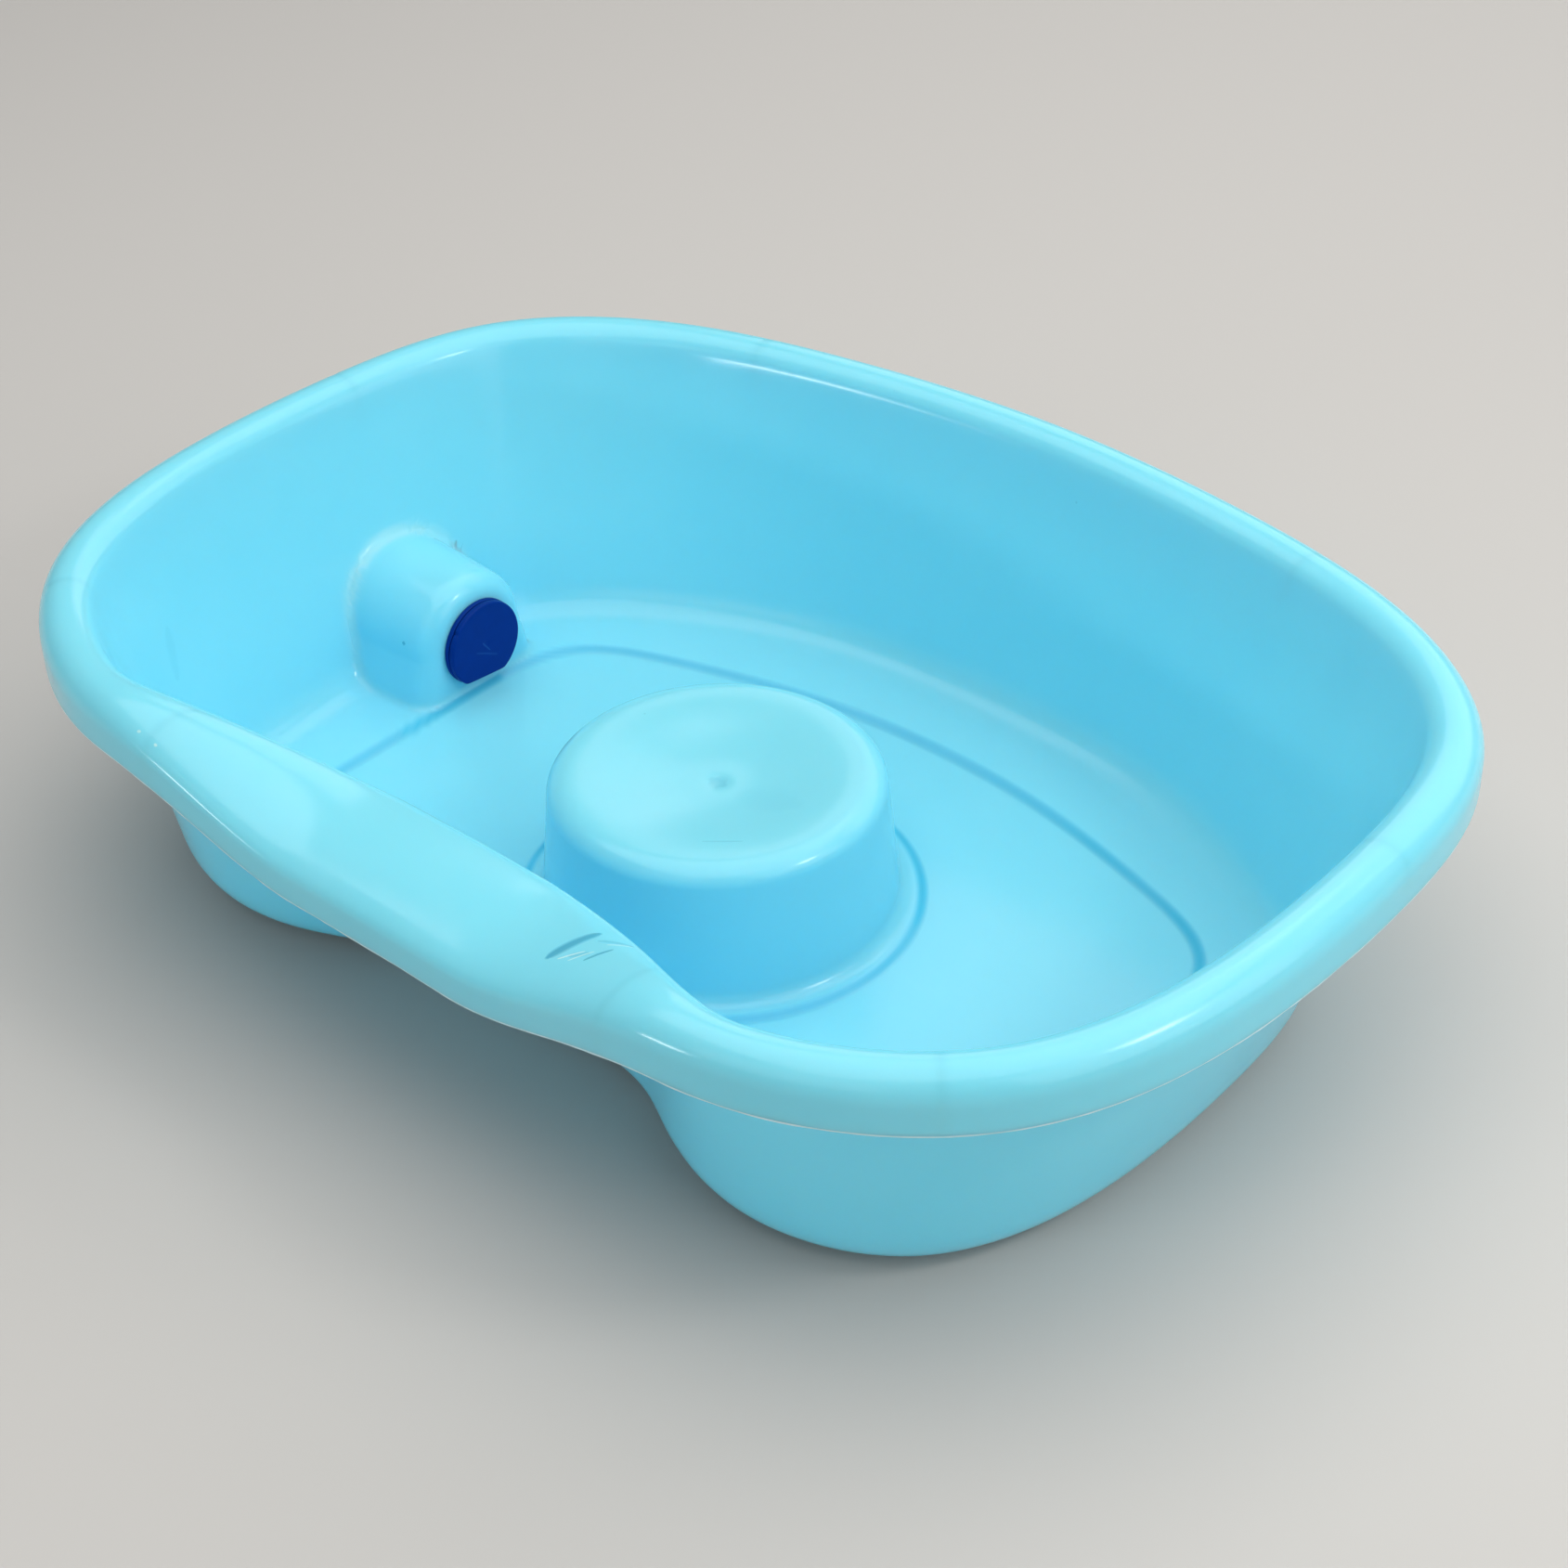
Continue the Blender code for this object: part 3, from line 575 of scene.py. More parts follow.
# Painted highlights: three pale lines along the ridges of the neck rest's folds and two small glints on the
# left of the rim's crown.
PAINTED_HIGHLIGHTS = (
    ((0.0884, -0.1972, 0.1221), (0.0952, -0.1902, 0.1251), FROM_ABOVE, 0.0010, 1.0),
    ((0.0934, -0.1970, 0.1237), (0.0989, -0.1890, 0.1259), FROM_ABOVE, 0.0009, 0.8),
    ((0.0990, -0.1823, 0.1248), (0.1065, -0.1775, 0.1240), FROM_ABOVE, 0.0016, 0.5),
    ((-0.1320, -0.2119, 0.1306), (-0.1306, -0.2114, 0.1306), FROM_ABOVE, 0.0010, 1.0),
    ((-0.1226, -0.2114, 0.1278), (-0.1212, -0.2112, 0.1278), FROM_ABOVE, 0.0010, 1.0),
)


def creased(tree, place, creases):
    """The strongest of these strokes at each point."""
    total = 0.0
    for start, end, weights, width, strength in creases:
        mask = placed(tree, stroke, place, Start=start, End=end, Weights=weights, Width=width)["Mask"]
        total = maths(tree, "MAXIMUM", maths(tree, "MULTIPLY", mask, strength), total)
    return total


def tinted(tree, body, tints):
    """Lays colours over a body colour, each with its mask and how strongly it shows."""
    for mask, strength, colour in tints:
        body = mixed(tree, maths(tree, "MULTIPLY", mask, strength), body, colour)
    return body


def surfaced(tree, shader, body, rub, rough, height, bump):
    """Wires a colour, a roughness with its slope and start over the rub, and a bump's two sizes."""
    tree.links.new(body, shader.inputs["Base Color"])
    tree.links.new(maths(tree, "MULTIPLY_ADD", rub, *rough), shader.inputs["Roughness"])
    wires = {"Strength": bump[0], "Distance": bump[1], "Height": height}
    tree.links.new(add_node(tree, "ShaderNodeBump", wires).outputs["Normal"], shader.inputs["Normal"])


def blue_plastic():
    made, tree, shader, place = new_material(
        "pale_blue_polypropylene",
        Subsurface_Weight=0.55,
        Subsurface_Radius=(0.006, 0.009, 0.011),
        Subsurface_Scale=1.0,
        IOR=1.49,
        Specular_IOR_Level=0.4,
    )
    face = placed(tree, moulded_face, place)
    dust = placed(tree, specks, place, Spacing=0.028, Share=0.35, Size=0.0011)["Mask"]
    dirt = placed(tree, specks, place, Spacing=0.070, Share=0.30, Size=0.0016)["Mask"]
    dark = creased(tree, place, CREASE_SHADE_AND_MARKS)
    painted_highlights = creased(tree, place, PAINTED_HIGHLIGHTS)
    sink = add_node(tree, "ShaderNodeAttribute", attribute_name="rib_sink_shade").outputs["Fac"]
    riser_shade = add_node(tree, "ShaderNodeAttribute", attribute_name="step_riser_shade").outputs["Fac"]
    fillet = add_node(tree, "ShaderNodeAttribute", attribute_name="boss_fillet_highlight").outputs["Fac"]
    body = tinted(tree, mixed(tree, face["Rub"], (0.215, 0.720, 0.935), (0.240, 0.740, 0.950)), (
        # Painted shade: the risers of the small steps round the ledge, the boss and the collar are painted a
        # deeper blue.
        (riser_shade, 1.0, (0.075, 0.52, 0.76)),
        # Painted highlight: a paler line along the fillet between the boss and the wall.
        (fillet, 0.3, (0.62, 0.94, 0.99)),
        (dust, 0.35, (0.06, 0.36, 0.52)),
        (dirt, 0.8, (0.03, 0.16, 0.24)),
        # Painted shade: the rim is painted a little darker over each rib's sink mark.
        (sink, 0.10, (0.06, 0.38, 0.55)),
        # Painted shade in the neck rest's folds and on the head rest's top, with a scratch, specks and a
        # streak in the same mask.
        (dark, 0.75, (0.04, 0.32, 0.46)),
        # Painted highlights along the neck rest's folds and painted glints on the rim.
        (painted_highlights, 0.75, (0.60, 0.92, 0.98)),
    ))
    height = maths(tree, "MULTIPLY_ADD", dark, -CREASE_DEPTH, face["Height"])
    surfaced(tree, shader, body, face["Rub"], (0.12, 0.10), height, (0.35, 0.004))
    return made


def new_object(name, data):
    made = bpy.data.objects.new(name, data)
    bpy.context.scene.collection.objects.link(made)
    return made


def finished(made, material, angle):
    """Turns live modifiers into plain mesh, with smooth faces and corners sharper than the angle kept."""
    bpy.context.view_layer.update()
    plain = bpy.data.meshes.new_from_object(made.evaluated_get(bpy.context.evaluated_depsgraph_get()))
    made.modifiers.clear()
    made.data = plain
    plain.materials.clear()
    plain.materials.append(material)
    plain.shade_smooth()
    plain.set_sharp_from_angle(angle=math.radians(angle))


def stations():
    """Even places round the rim, with closer ones at each rib for its sink mark."""
    step = 0.0009
    places = [rib + step * k for rib in RIB_SHARES for k in (-3, -2, -1, 0, 1, 2, 3)]
    for k in range(STATIONS):
        if min(abs(k / STATIONS - rib) for rib in RIB_SHARES) > 4 * step:
            places.append(k / STATIONS)
    return np.sort(np.array(places))


around_basin = stations()
blue = blue_plastic()
moulding = new_object("basin_moulding", basin_mesh(around_basin))
wall = moulding.modifiers.new("wall", "SOLIDIFY")
wall.thickness = WALL
wall.offset = -1
wall.use_even_offset = True
finished(moulding, blue, 40)
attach(moulding, "basin")
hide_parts("basin_shell")

# Ribs in the rim
# Eight thin plates of the same moulding stand across the hollow of the rim, from the lip to the wall, and
# stiffen it. Each fills the section at its own place, so the plates differ and share only their thickness.

RIB_THICKNESS = 0.002
RIB_RISE = 0.0026


def rib_blanks(at):
    """One flat face for each rib, set half its thickness to one side."""
    rings = np.array(rim_rings(at))
    crown = rings[len(LIP_SHARES):]
    brow = crown[-1]
    foot = wall_rings(at, brow)[WALL_ROWS - 1]
    base = rings[0, :, 2] + RIB_RISE
    wall_foot = brow + (foot - brow) * ((brow[:, 2] - base) / (brow[:, 2] - foot[:, 2]))[:, None]
    across = level(inward(at), 0)
    aside = np.cross(across, (0, 0, RIB_THICKNESS / 2))
    work = bmesh.new()
    for k in range(len(at)):
        deeper, _ = toward(crown[:, k], (crown[0, k] + brow[k])[None] / 2)
        points = list(crown[:, k] + deeper * WALL / 2)
        points.append(wall_foot[k] - across[k] * WALL / 2)
        points.append(np.append((crown[0, k] + across[k] * WALL / 2)[:2], base[k]))
        face = work.faces.new([work.verts.new(point + aside[k]) for point in points])
        face.normal_update()
        if face.normal.dot(Vector(aside[k])) > 0:
            face.normal_flip()
    mesh = bpy.data.meshes.new("rim_ribs")
    work.to_mesh(mesh)
    work.free()
    return mesh


def geometry_tree(name, inputs):
    """An empty Geometry Nodes tree that takes Geometry, a Material and these inputs."""
    tree = bpy.data.node_groups.new(name, "GeometryNodeTree")
    tree.interface.new_socket("Geometry", in_out="OUTPUT", socket_type="NodeSocketGeometry")
    tree.interface.new_socket("Geometry", in_out="INPUT", socket_type="NodeSocketGeometry")
    tree.interface.new_socket("Material", in_out="INPUT", socket_type="NodeSocketMaterial")
    for title, value in inputs.items():
        kind = "NodeSocketInt" if isinstance(value, int) else "NodeSocketFloat"
        tree.interface.new_socket(title, in_out="INPUT", socket_type=kind).default_value = value
    return tree, tree.nodes.new("NodeGroupInput").outputs


def tree_end(tree, given, geometry):
    """Closes a tree with Realize Instances and Set Material."""
    real = add_node(tree, "GeometryNodeRealizeInstances", {"Geometry": geometry}).outputs[0]
    dressed = add_node(tree, "GeometryNodeSetMaterial", {"Geometry": real, "Material": given["Material"]})
    tree.links.new(dressed.outputs[0], tree.nodes.new("NodeGroupOutput").inputs[0])
    return tree


def grown(name, mesh, tree, material, angle, **values):
    """An object whose shape a Geometry Nodes tree makes from the mesh, kept as plain mesh."""
    made = new_object(name, mesh)
    grow = made.modifiers.new("grow", "NODES")
    grow.node_group = tree
    sockets = {item.name: item.identifier for item in tree.interface.items_tree if item.in_out == "INPUT"}
    for title, value in {"Material": material, **values}.items():
        grow[sockets[title.replace("_", " ")]] = value
    finished(made, material, angle)
    return made


def plate_tree():
    tree, given = geometry_tree("rib_plates", {"Thickness": RIB_THICKNESS})
    grow = {"Mesh": given["Geometry"], "Offset Scale": given["Thickness"], "Individual": False}
    risen = add_node(tree, "GeometryNodeExtrudeMesh", grow, mode="FACES").outputs["Mesh"]
    back = add_node(tree, "GeometryNodeFlipFaces", {"Mesh": given["Geometry"]}).outputs[0]
    join = add_node(tree, "GeometryNodeJoinGeometry")
    for sheet in (risen, back):
        tree.links.new(sheet, join.inputs[0])
    welded = add_node(tree, "GeometryNodeMergeByDistance", {"Geometry": join.outputs[0], "Distance": 1e-6})
    return tree_end(tree, given, welded.outputs[0])


ribs = grown("rim_ribs", rib_blanks(np.array(RIB_SHARES)), plate_tree(), blue, 30, Thickness=RIB_THICKNESS)
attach(ribs, "basin")
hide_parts("basin_shell")

# Flash along the lip
# Where the two halves of the mould part, a thin seam of plastic is left along the lip's edge. Trimming it by
# knife has left it uneven and whitened, which shows as a fine pale line under the rim.

FLASH_RADIUS = 0.0007
FLASH_DROP = 0.0005
FLASH_LEAST = 0.35


def lip_loop(at):
    """A closed loop of edges along the lip's edge, just below it."""
    ring = rim_rings(at)[0] + level(inward(at) * FLASH_RADIUS, -FLASH_DROP)
    mesh = bpy.data.meshes.new("lip_flash")
    mesh.from_pydata(ring.tolist(), [(k, (k + 1) % len(ring)) for k in range(len(ring))], [])
    return mesh


def bead_tree():
    tree, given = geometry_tree("trimmed_bead", {"Radius": FLASH_RADIUS, "Count": 900, "Wander": 60.0})
    path = add_node(tree, "GeometryNodeMeshToCurve", {"Mesh": given["Geometry"]}).outputs[0]
    path = add_node(tree, "GeometryNodeResampleCurve", {"Curve": path, "Count": given["Count"]}).outputs[0]
    noise = add_node(tree, "ShaderNodeTexNoise", {"Scale": given["Wander"], "Detail": 3.0}).outputs["Fac"]
    width = maths(tree, "MULTIPLY", maths(tree, "ADD", noise, FLASH_LEAST), given["Radius"])
    profile = add_node(tree, "GeometryNodeCurvePrimitiveCircle", {"Resolution": 8, "Radius": 1.0}).outputs[0]
    wires = {"Curve": path, "Profile Curve": profile, "Scale": width}
    return tree_end(tree, given, add_node(tree, "GeometryNodeCurveToMesh", wires).outputs[0])


def whitened_plastic():
    made, tree, shader, place = new_material("trimmed_blue_plastic", Roughness=0.55, IOR=1.49)
    rub = placed(tree, moulded_face, place, Rub_Scale=120.0)["Rub"]
    tree.links.new(mixed(tree, rub, (0.30, 0.74, 0.86), (0.86, 0.97, 1.00)), shader.inputs["Base Color"])
    return made


flash = grown("lip_flash", lip_loop(around_basin), bead_tree(), whitened_plastic(), 80)
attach(flash, "basin")
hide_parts("basin_shell")

# Drain spout
# Dark blue plastic, moulded in one piece. Its flange seals on the face of the boss, with one flat side just
# above the floor. Its threaded barrel goes through the wall, and its barbed tail takes a hose.

BORE_RADIUS = 0.0110
FLANGE_RADIUS = 0.0217
FLAT_DROP = 0.0180
FLAT_TURN = 0.0997
FLAT_CORNER = 0.0012
FLANGE_FACE = 0.0027
FLANGE_ROUND = 0.0006
FLANGE_BACK_ROUND = 0.0004
FACE_RING = 0.0165
SEAT_GAP = 0.0003
TAIL_BORE = 0.0080
TAIL_BORE_ROUND = 0.0005
TAIL_RADIUS = 0.0105
TAIL_LENGTH = 0.0260
BARREL_END = -0.0152
BARREL_EDGE = 0.0008
BARREL_NECK = -0.0022
PLUG_END = -0.0128
BARB_PLACES = (0.74, 0.48, 0.22)
BARB_RISE = 0.0012
BARB_STEPS = ((0.02, 0.0), (0.0, 0.75), (-0.01, 1.0), (-0.03, 1.0), (-0.22, 0.0))
THREAD_DEPTH = 0.0008
THREAD_START = -0.0030
THREAD_INSET = 0.001
THREAD_PITCH = 0.0020
THREAD_TURNS = 5.0
SIDES = 96


def flat_sided(radius, inset):
    """Distances from the axis to an outline of this radius whose flat side is set in as far as its edge."""
    turns = np.arange(SIDES) / SIDES * math.tau
    flat = (FLAT_DROP - inset) / np.maximum(-np.sin(turns + FLAT_TURN), 0.05)
    mean = (radius + flat) / 2
    return mean - np.hypot((radius - flat) / 2, FLAT_CORNER / 4)


def ring_at(lengths, along):
    """One ring about the drain's axis, with these distances from it."""
    turns = np.arange(SIDES) / SIDES * math.tau
    lengths = np.broadcast_to(lengths, SIDES)
    along = np.broadcast_to(along, SIDES)
    return drain + np.column_stack([along, lengths * np.cos(turns), lengths * np.sin(turns)])


def lofted(name, rings, closed):
    """A closed body over the rings. Its ends meet, or each is closed to a point at its middle."""
    count = len(rings)
    index = np.arange(count * SIDES).reshape(count, SIDES)
    faces = [face for k in range(count - 1) for face in quads(index[k], index[k + 1])]
    points = np.concatenate(rings)
    if closed:
        faces += quads(index[-1], index[0])
    else:
        points = np.concatenate([points, [rings[0].mean(axis=0), rings[-1].mean(axis=0)]])
        for ring, tip in ((index[0], count * SIDES), (index[-1], count * SIDES + 1)):
            faces += [(int(a), int(b), tip) for a, b in zip(ring, np.roll(ring, -1))]
    mesh = bpy.data.meshes.new(name)
    mesh.from_pydata(points.tolist(), [], faces)
    work = bmesh.new()
    work.from_mesh(mesh)
    bmesh.ops.recalc_face_normals(work, faces=work.faces)
    work.to_mesh(mesh)
    work.free()
    return mesh


def edge_round(outer, face, size, steps, into):
    """Radii, insets and places along the axis round an outer edge, from its face to its side."""
    points = []
    for turn in np.radians(np.linspace(0, 90, steps)):
        inset = size * (1 - math.sin(turn))
        points.append((outer - inset, inset, face - into * size * (1 - math.cos(turn))))
    return points


def spout_rings():
    """Rings from the bore over the flange, down the barrel and the tail, and back inside to the bore."""
    tail_end = BARREL_END - TAIL_LENGTH
    core = BARREL_RADIUS - THREAD_DEPTH
    front = [(BORE_RADIUS, FLANGE_FACE - FLANGE_ROUND), (BORE_RADIUS + FLANGE_ROUND, FLANGE_FACE)]
    front += [(BARREL_RADIUS, FLANGE_FACE), (FACE_RING, FLANGE_FACE)]
    edge = edge_round(FLANGE_RADIUS, FLANGE_FACE, FLANGE_ROUND, 5, 1)
    edge += reversed(edge_round(FLANGE_RADIUS, SEAT_GAP, FLANGE_BACK_ROUND, 4, -1))
    rest = [(FACE_RING, SEAT_GAP), (BARREL_RADIUS, SEAT_GAP), (BARREL_RADIUS, BARREL_NECK)]
    rest += [(core, THREAD_START), (core, BARREL_END + BARREL_EDGE), (core - BARREL_EDGE, BARREL_END)]
    rest += [(TAIL_RADIUS + BARREL_EDGE, BARREL_END), (TAIL_RADIUS, BARREL_END - BARREL_EDGE)]
    for barb in BARB_PLACES:
        for share, rise in BARB_STEPS:
            rest.append((TAIL_RADIUS + BARB_RISE * rise, tail_end + TAIL_LENGTH * (barb + share)))
    # The last barb runs out at the tail's mouth.
    rest.pop()
    rest += [(TAIL_RADIUS - 0.0002, tail_end + 0.0006), (TAIL_RADIUS - 0.0008, tail_end)]
    rest += [(TAIL_BORE + TAIL_BORE_ROUND, tail_end), (TAIL_BORE, tail_end + TAIL_BORE_ROUND)]
    rest += [(TAIL_BORE, BARREL_END), (BORE_RADIUS, PLUG_END - SEAT_GAP)]
    rings = [ring_at(radius, along) for radius, along in front]
    rings += [ring_at(flat_sided(radius, inset), along) for radius, inset, along in edge]
    return rings + [ring_at(radius, along) for radius, along in rest]


SCUFFS = (
    ((-0.1941, 0.0195, 0.0262), (-0.1941, 0.0290, 0.0215), FROM_THE_SIDE, 0.0009, 0.45),
    ((-0.1941, 0.0240, 0.0298), (-0.1941, 0.0282, 0.0239), FROM_THE_SIDE, 0.0008, 0.60),
    ((-0.1941, 0.0262, 0.0228), (-0.1941, 0.0325, 0.0195), FROM_THE_SIDE, 0.0011, 0.35),
)


def navy_plastic():
    made, tree, shader, place = new_material("navy_plastic", IOR=1.49, Specular_IOR_Level=0.06)
    face = placed(tree, moulded_face, place, Wave_Scale=60.0, Grain_Scale=2500.0, Grain=0.03, Rub_Scale=160.0)
    dust = placed(tree, specks, place, Spacing=0.006, Share=0.25, Size=0.0006)["Mask"]
    body = tinted(tree, mixed(tree, face["Rub"], (0.0001, 0.024, 0.185), (0.0002, 0.031, 0.225)), (
        (dust, 0.5, (0.10, 0.20, 0.38)),
        (creased(tree, place, SCUFFS), 0.5, (0.03, 0.15, 0.38)),
    ))
    surfaced(tree, shader, body, face["Rub"], (0.30, 0.26), face["Height"], (0.25, 0.0006))
    return made


def thread_tree():
    """A thread: a spiral about the drain's axis with a six-sided section."""
    tree, given = geometry_tree("barrel_thread", {
        "Radius": BARREL_RADIUS,
        "Pitch": THREAD_PITCH,
        "Turns": THREAD_TURNS,
        "Start": BARREL_END,
        "Depth": THREAD_DEPTH,
    })
    middle = maths(tree, "SUBTRACT", given["Radius"], maths(tree, "MULTIPLY", given["Depth"], 0.52))
    height = maths(tree, "MULTIPLY", given["Pitch"], given["Turns"])
    wires = {"Resolution": 48, "Rotations": given["Turns"], "Height": height}
    wires.update({"Start Radius": middle, "End Radius": middle})
    spiral = add_node(tree, "GeometryNodeCurveSpiral", wires).outputs[0]
    upright = add_node(tree, "GeometryNodeSetCurveNormal", {"Curve": spiral}, mode="Z_UP").outputs[0]
    lean = {"Geometry": upright, "Rotation": (0.0, math.pi / 2, 0.0)}
    lying = add_node(tree, "GeometryNodeTransform", lean).outputs[0]
    start = add_node(tree, "ShaderNodeCombineXYZ", {0: given["Start"]}).outputs[0]
    moved = add_node(tree, "GeometryNodeTransform", {"Geometry": lying, "Translation": start}).outputs[0]
    profile = add_node(tree, "GeometryNodeCurvePrimitiveCircle", {"Resolution": 6, "Radius": 1.0}).outputs[0]
    half = maths(tree, "MULTIPLY", given["Depth"], 0.5)
    swept = {"Curve": moved, "Profile Curve": profile, "Scale": half, "Fill Caps": True}
    return tree_end(tree, given, add_node(tree, "GeometryNodeCurveToMesh", swept).outputs[0])


navy = navy_plastic()
spout = new_object("drain_spout_fitting", lofted("drain_spout_fitting", spout_rings(), True))
finished(spout, navy, 38)
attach(spout, "basin")
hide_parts("drain_spout")

no_mesh = bpy.data.meshes.new("spout_thread")
thread = grown("spout_thread", no_mesh, thread_tree(), navy, 50, Start=BARREL_END + THREAD_INSET)
thread.data.transform(Matrix.Translation(Vector(drain)))
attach(thread, "basin")
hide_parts("drain_spout")

# Gasket
# A flat washer of black rubber, squeezed between the back of the boss wall and the nut.

GASKET_FACE = -WALL - SEAT_GAP
GASKET_THICKNESS = 0.0020
GASKET_WIDTH = 0.0045
GASKET_BULGE = 0.0006
GASKET_EDGE = 0.0003


def gasket_rings():
    """Rings from the hole over the front face, round the squeezed edge and back over the rear face."""
    inner = BARREL_RADIUS + SEAT_GAP
    outer = BARREL_RADIUS + GASKET_WIDTH - GASKET_BULGE
    back = GASKET_FACE - GASKET_THICKNESS
    middle = (GASKET_FACE + back) / 2
    points = [(inner, GASKET_FACE - GASKET_EDGE), (inner + GASKET_EDGE, GASKET_FACE)]
    for turn in np.radians((0, 25, 50, 70, 90, 110, 130, 155, 180)):
        points.append((outer + GASKET_BULGE * math.sin(turn), middle + GASKET_THICKNESS / 2 * math.cos(turn)))
    points += [(inner + GASKET_EDGE, back), (inner, back + GASKET_EDGE)]
    return [ring_at(radius, along) for radius, along in points]


def black_rubber():
    made, tree, shader, place = new_material("black_rubber", IOR=1.50)
    face = placed(tree, moulded_face, place, Wave_Scale=300.0, Grain_Scale=3000.0, Grain=0.3, Rub_Scale=200.0)
    body = mixed(tree, face["Rub"], (0.010, 0.010, 0.012), (0.030, 0.030, 0.033))
    surfaced(tree, shader, body, face["Rub"], (0.3, 0.5), face["Height"], (0.3, 0.0003))
    return made


rubber = black_rubber()
gasket = new_object("spout_washer", lofted("spout_washer", gasket_rings(), True))
finished(gasket, rubber, 40)
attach(gasket, "basin")
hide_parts("spout_gasket")

# Nut
# Six-sided, of the same dark blue plastic. It screws onto the barrel and draws the flange against the boss.

NUT_FACE = GASKET_FACE - GASKET_THICKNESS - SEAT_GAP
NUT_THICKNESS = 0.0070
NUT_WALL = 0.0040
NUT_CHAMFER = 0.0010
NUT_HOLE_EDGE = 0.0005
NUT_EDGE = 0.0002


def nut_rings():
    """Rings whose corners lie further from the axis, and start further from the faces, than their flats."""
    turns = np.arange(SIDES) / SIDES * math.tau
    hole = BARREL_RADIUS + SEAT_GAP
    apothem = hole + NUT_WALL
    hexagon = apothem / np.cos((turns + math.pi / 6) % (math.pi / 3) - math.pi / 6)
    corner = apothem / math.cos(math.pi / 6)
    start = corner - NUT_CHAMFER
    drop = np.maximum(hexagon - start, 0) + NUT_EDGE
    back = NUT_FACE - NUT_THICKNESS
    face_line = np.minimum(hexagon, start) - NUT_EDGE
    side = hexagon - NUT_EDGE / 2
    return [
        ring_at(hole, NUT_FACE - NUT_HOLE_EDGE),
        ring_at(hole + NUT_HOLE_EDGE, NUT_FACE),
        ring_at(face_line, NUT_FACE),
        ring_at(side, NUT_FACE - drop),
        ring_at(side, back + drop),
        ring_at(face_line, back),
        ring_at(hole + NUT_HOLE_EDGE, back),
        ring_at(hole, back + NUT_HOLE_EDGE),
    ]


nut = new_object("spout_lock_nut", lofted("spout_lock_nut", nut_rings(), True))
finished(nut, navy, 25)
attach(nut, "basin")
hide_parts("spout_nut")

# Stopper
# A dark blue plastic disc that covers the flange, with its plug pushed into the spout's bore. The disc
# repeats the flange's flat side, and a small notch in its edge lets a fingernail lift it.

STOPPER_INSET = 0.0002
STOPPER_THICKNESS = 0.0030
STOPPER_ROUND = 0.0010
STOPPER_BACK_EDGE = 0.0004
STOPPER_RIM = 0.0045
GATE_RINGS = (0.0008, 0.0016, 0.0021, 0.0027, 0.0045, 0.009, 0.0135)
STOPPER_GATE_RADIUS = 0.0019
STOPPER_GATE_DEPTH = 0.00015
PLUG_RADIUS = 0.0106
PLUG_EDGE = 0.0008
RING_SECTION = 0.0024
RING_RADIUS = BORE_RADIUS - 0.0001 - RING_SECTION / 2
RING_ALONG = (FLANGE_FACE + PLUG_END) / 2
NOTCH_TURN = 2.5
NOTCH_SPAN = 0.045
NOTCH_DEPTH = 0.0009


def stopper_rings():
    """Rings from the middle of the face over the edge and the back, and down the plug with its groove."""
    seat = FLANGE_FACE + SEAT_GAP
    face = seat + STOPPER_THICKNESS
    radius = FLANGE_RADIUS - STOPPER_INSET
    half_groove = RING_SECTION / 2 + SEAT_GAP
    groove = RING_RADIUS - half_groove
    turns = np.arange(SIDES) / SIDES * math.tau
    notch = NOTCH_DEPTH * np.exp(-(((turns - NOTCH_TURN) / NOTCH_SPAN) ** 2))
    rings = []
    for size in GATE_RINGS:
        mark = STOPPER_GATE_DEPTH * math.exp(-((size / STOPPER_GATE_RADIUS) ** 6))
        rings.append(ring_at(size, face - mark))
    rings.append(ring_at(flat_sided(radius - STOPPER_RIM, STOPPER_RIM), face))
    edge = edge_round(radius, face, STOPPER_ROUND, 7, 1)
    edge += [(radius, 0, seat + STOPPER_BACK_EDGE), (radius - STOPPER_BACK_EDGE, STOPPER_BACK_EDGE, seat)]
    for outer, inset, along in edge:
        rings.append(ring_at(flat_sided(outer, inset + STOPPER_INSET) - notch, along))
    plug = [(FACE_RING, seat), (PLUG_RADIUS + STOPPER_BACK_EDGE, seat)]
    plug.append((PLUG_RADIUS, seat - STOPPER_BACK_EDGE))
    plug += [(PLUG_RADIUS, RING_ALONG + half_groove), (groove, RING_ALONG + half_groove)]
    plug += [(groove, RING_ALONG - half_groove), (PLUG_RADIUS, RING_ALONG - half_groove)]
    plug += [(PLUG_RADIUS, PLUG_END + PLUG_EDGE), (PLUG_RADIUS - PLUG_EDGE, PLUG_END), (0.004, PLUG_END)]
    return rings + [ring_at(size, along) for size, along in plug]


stopper = new_object("drain_plug", lofted("drain_plug", stopper_rings(), False))
finished(stopper, navy, 38)
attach(stopper, "stopper")
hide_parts("drain_stopper")

# O-ring
# A black rubber ring in the plug's groove, which grips and seals the bore.

SECTION_SIDES = 20

ring_rows = []
for turn in np.arange(SECTION_SIDES) / SECTION_SIDES * math.tau:
    across = RING_SECTION / 2 * math.cos(turn)
    along = RING_SECTION / 2 * math.sin(turn)
    ring_rows.append(ring_at(RING_RADIUS + across, RING_ALONG + along))
o_ring = new_object("plug_o_ring", lofted("plug_o_ring", ring_rows, True))
finished(o_ring, rubber, 60)
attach(o_ring, "stopper")
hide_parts("stopper_o_ring")

# Camera, floor and studio light
# The photograph's own viewpoint and a plain pale floor. A broad ceiling lamp gives most of the light, with
# soft ones behind, at the right and, weaker, in front. Two small lamps make the highlights on rim and neck.

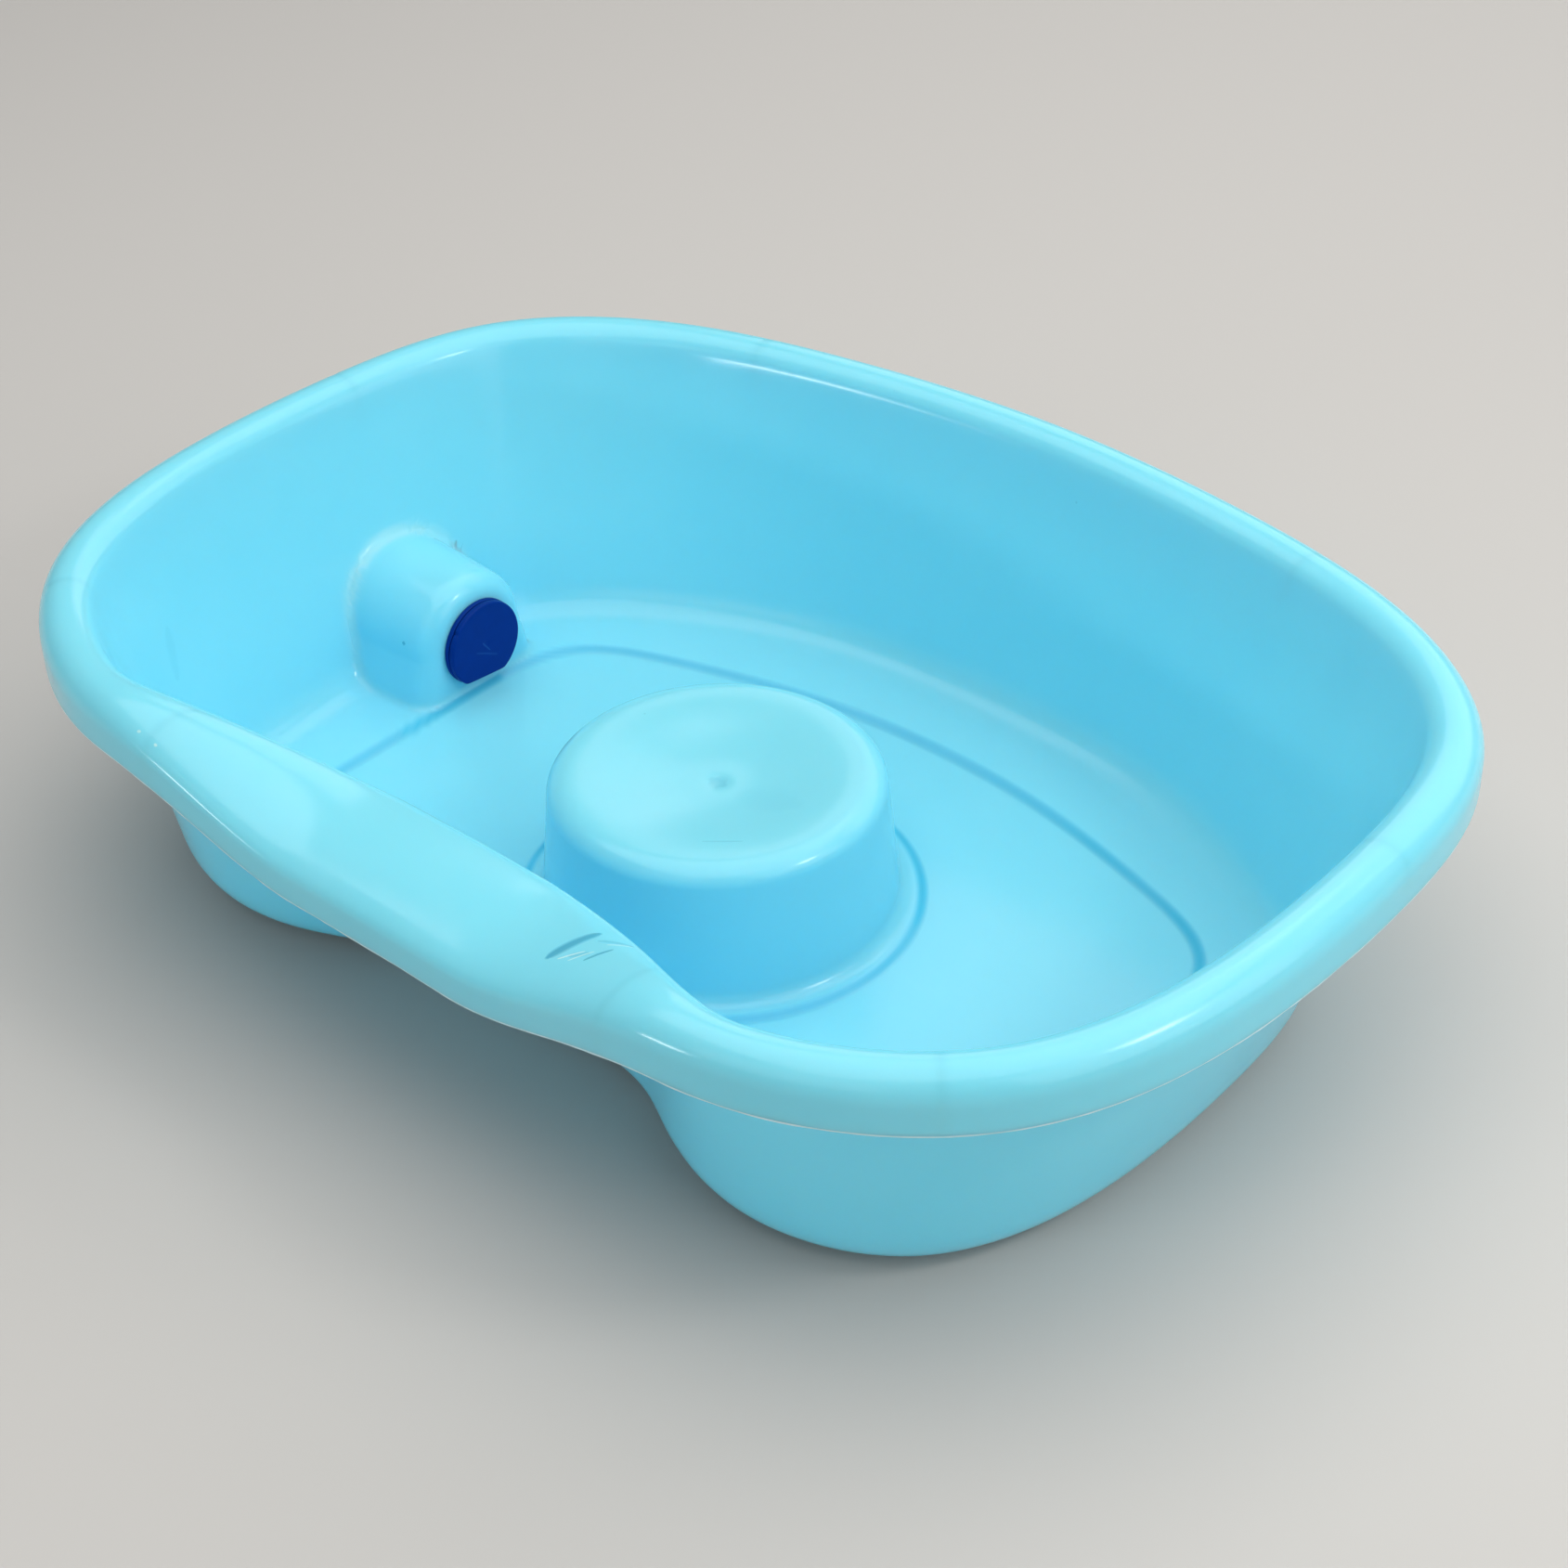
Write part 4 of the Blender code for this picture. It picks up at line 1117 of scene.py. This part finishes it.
LENS = 66.198
SENSOR_WIDTH = 36
LOOKED_AT = Vector((0.0076, 0.013852, 0.045803))
DISTANCE = 1.250506
FLOOR_REACH = 9
FLOOR_LEVEL = -0.0004
WORLD_STRENGTH = 0.14

camera = new_object("camera", bpy.data.cameras.new("camera"))
camera.data.lens = LENS
camera.data.sensor_width = SENSOR_WIDTH
camera.data.clip_start = 0.05
side = Vector((0.74816, 0.66318, -0.02103))
up = Vector((-0.37507, 0.44885, 0.81108))
back = side.cross(up)
turned = Matrix((side, up, back)).transposed().to_4x4()
camera.matrix_world = Matrix.Translation(LOOKED_AT + back * DISTANCE) @ turned
bpy.context.scene.camera = camera

floor_mesh = bpy.data.meshes.new("floor")
corners = [(x * FLOOR_REACH, y * FLOOR_REACH, FLOOR_LEVEL) for x, y in ((-1, -1), (1, -1), (1, 1), (-1, 1))]
floor_mesh.from_pydata(corners, [], [(0, 1, 2, 3)])
floor = new_object("floor", floor_mesh)
floor_mesh.materials.append(new_material("pale_floor", Base_Color=(0.56, 0.54, 0.51, 1), Roughness=0.9)[0])


def soft_lamp(name, place, width, height, power, colour=(1.0, 1.0, 1.0)):
    """A rectangular lamp that looks at the basin."""
    lamp = bpy.data.lights.new(name, "AREA")
    lamp.shape = "RECTANGLE"
    lamp.size = width
    lamp.size_y = height
    lamp.energy = power
    lamp.color = colour
    made = new_object(name, lamp)
    made.location = place
    made.rotation_euler = (Vector((0, 0, 0.05)) - Vector(place)).to_track_quat("-Z", "Y").to_euler()


soft_lamp("ceiling", (0.05, 0.10, 2.20), 3.0, 3.0, 49)
soft_lamp("front", (0.35, -2.20, 1.35), 2.0, 1.2, 6)
soft_lamp("back", (-0.20, 2.30, 1.50), 3.6, 1.7, 23)
soft_lamp("side", (1.90, 0.30, 1.15), 2.2, 1.6, 16)
soft_lamp("key", (1.15, 0.31, 1.07), 0.28, 0.18, 2.6, (1.0, 0.99, 0.97))
soft_lamp("window", (-0.60, -1.75, 0.35), 0.50, 0.08, 4.0, (0.97, 0.99, 1.0))
world = bpy.data.worlds.new("studio")
bpy.context.scene.world = world
world.use_nodes = True
sky = world.node_tree.nodes["Background"].inputs
sky["Color"].default_value = (0.95, 0.97, 1.0, 1)
sky["Strength"].default_value = WORLD_STRENGTH
bpy.context.scene.view_settings.view_transform = "Standard"
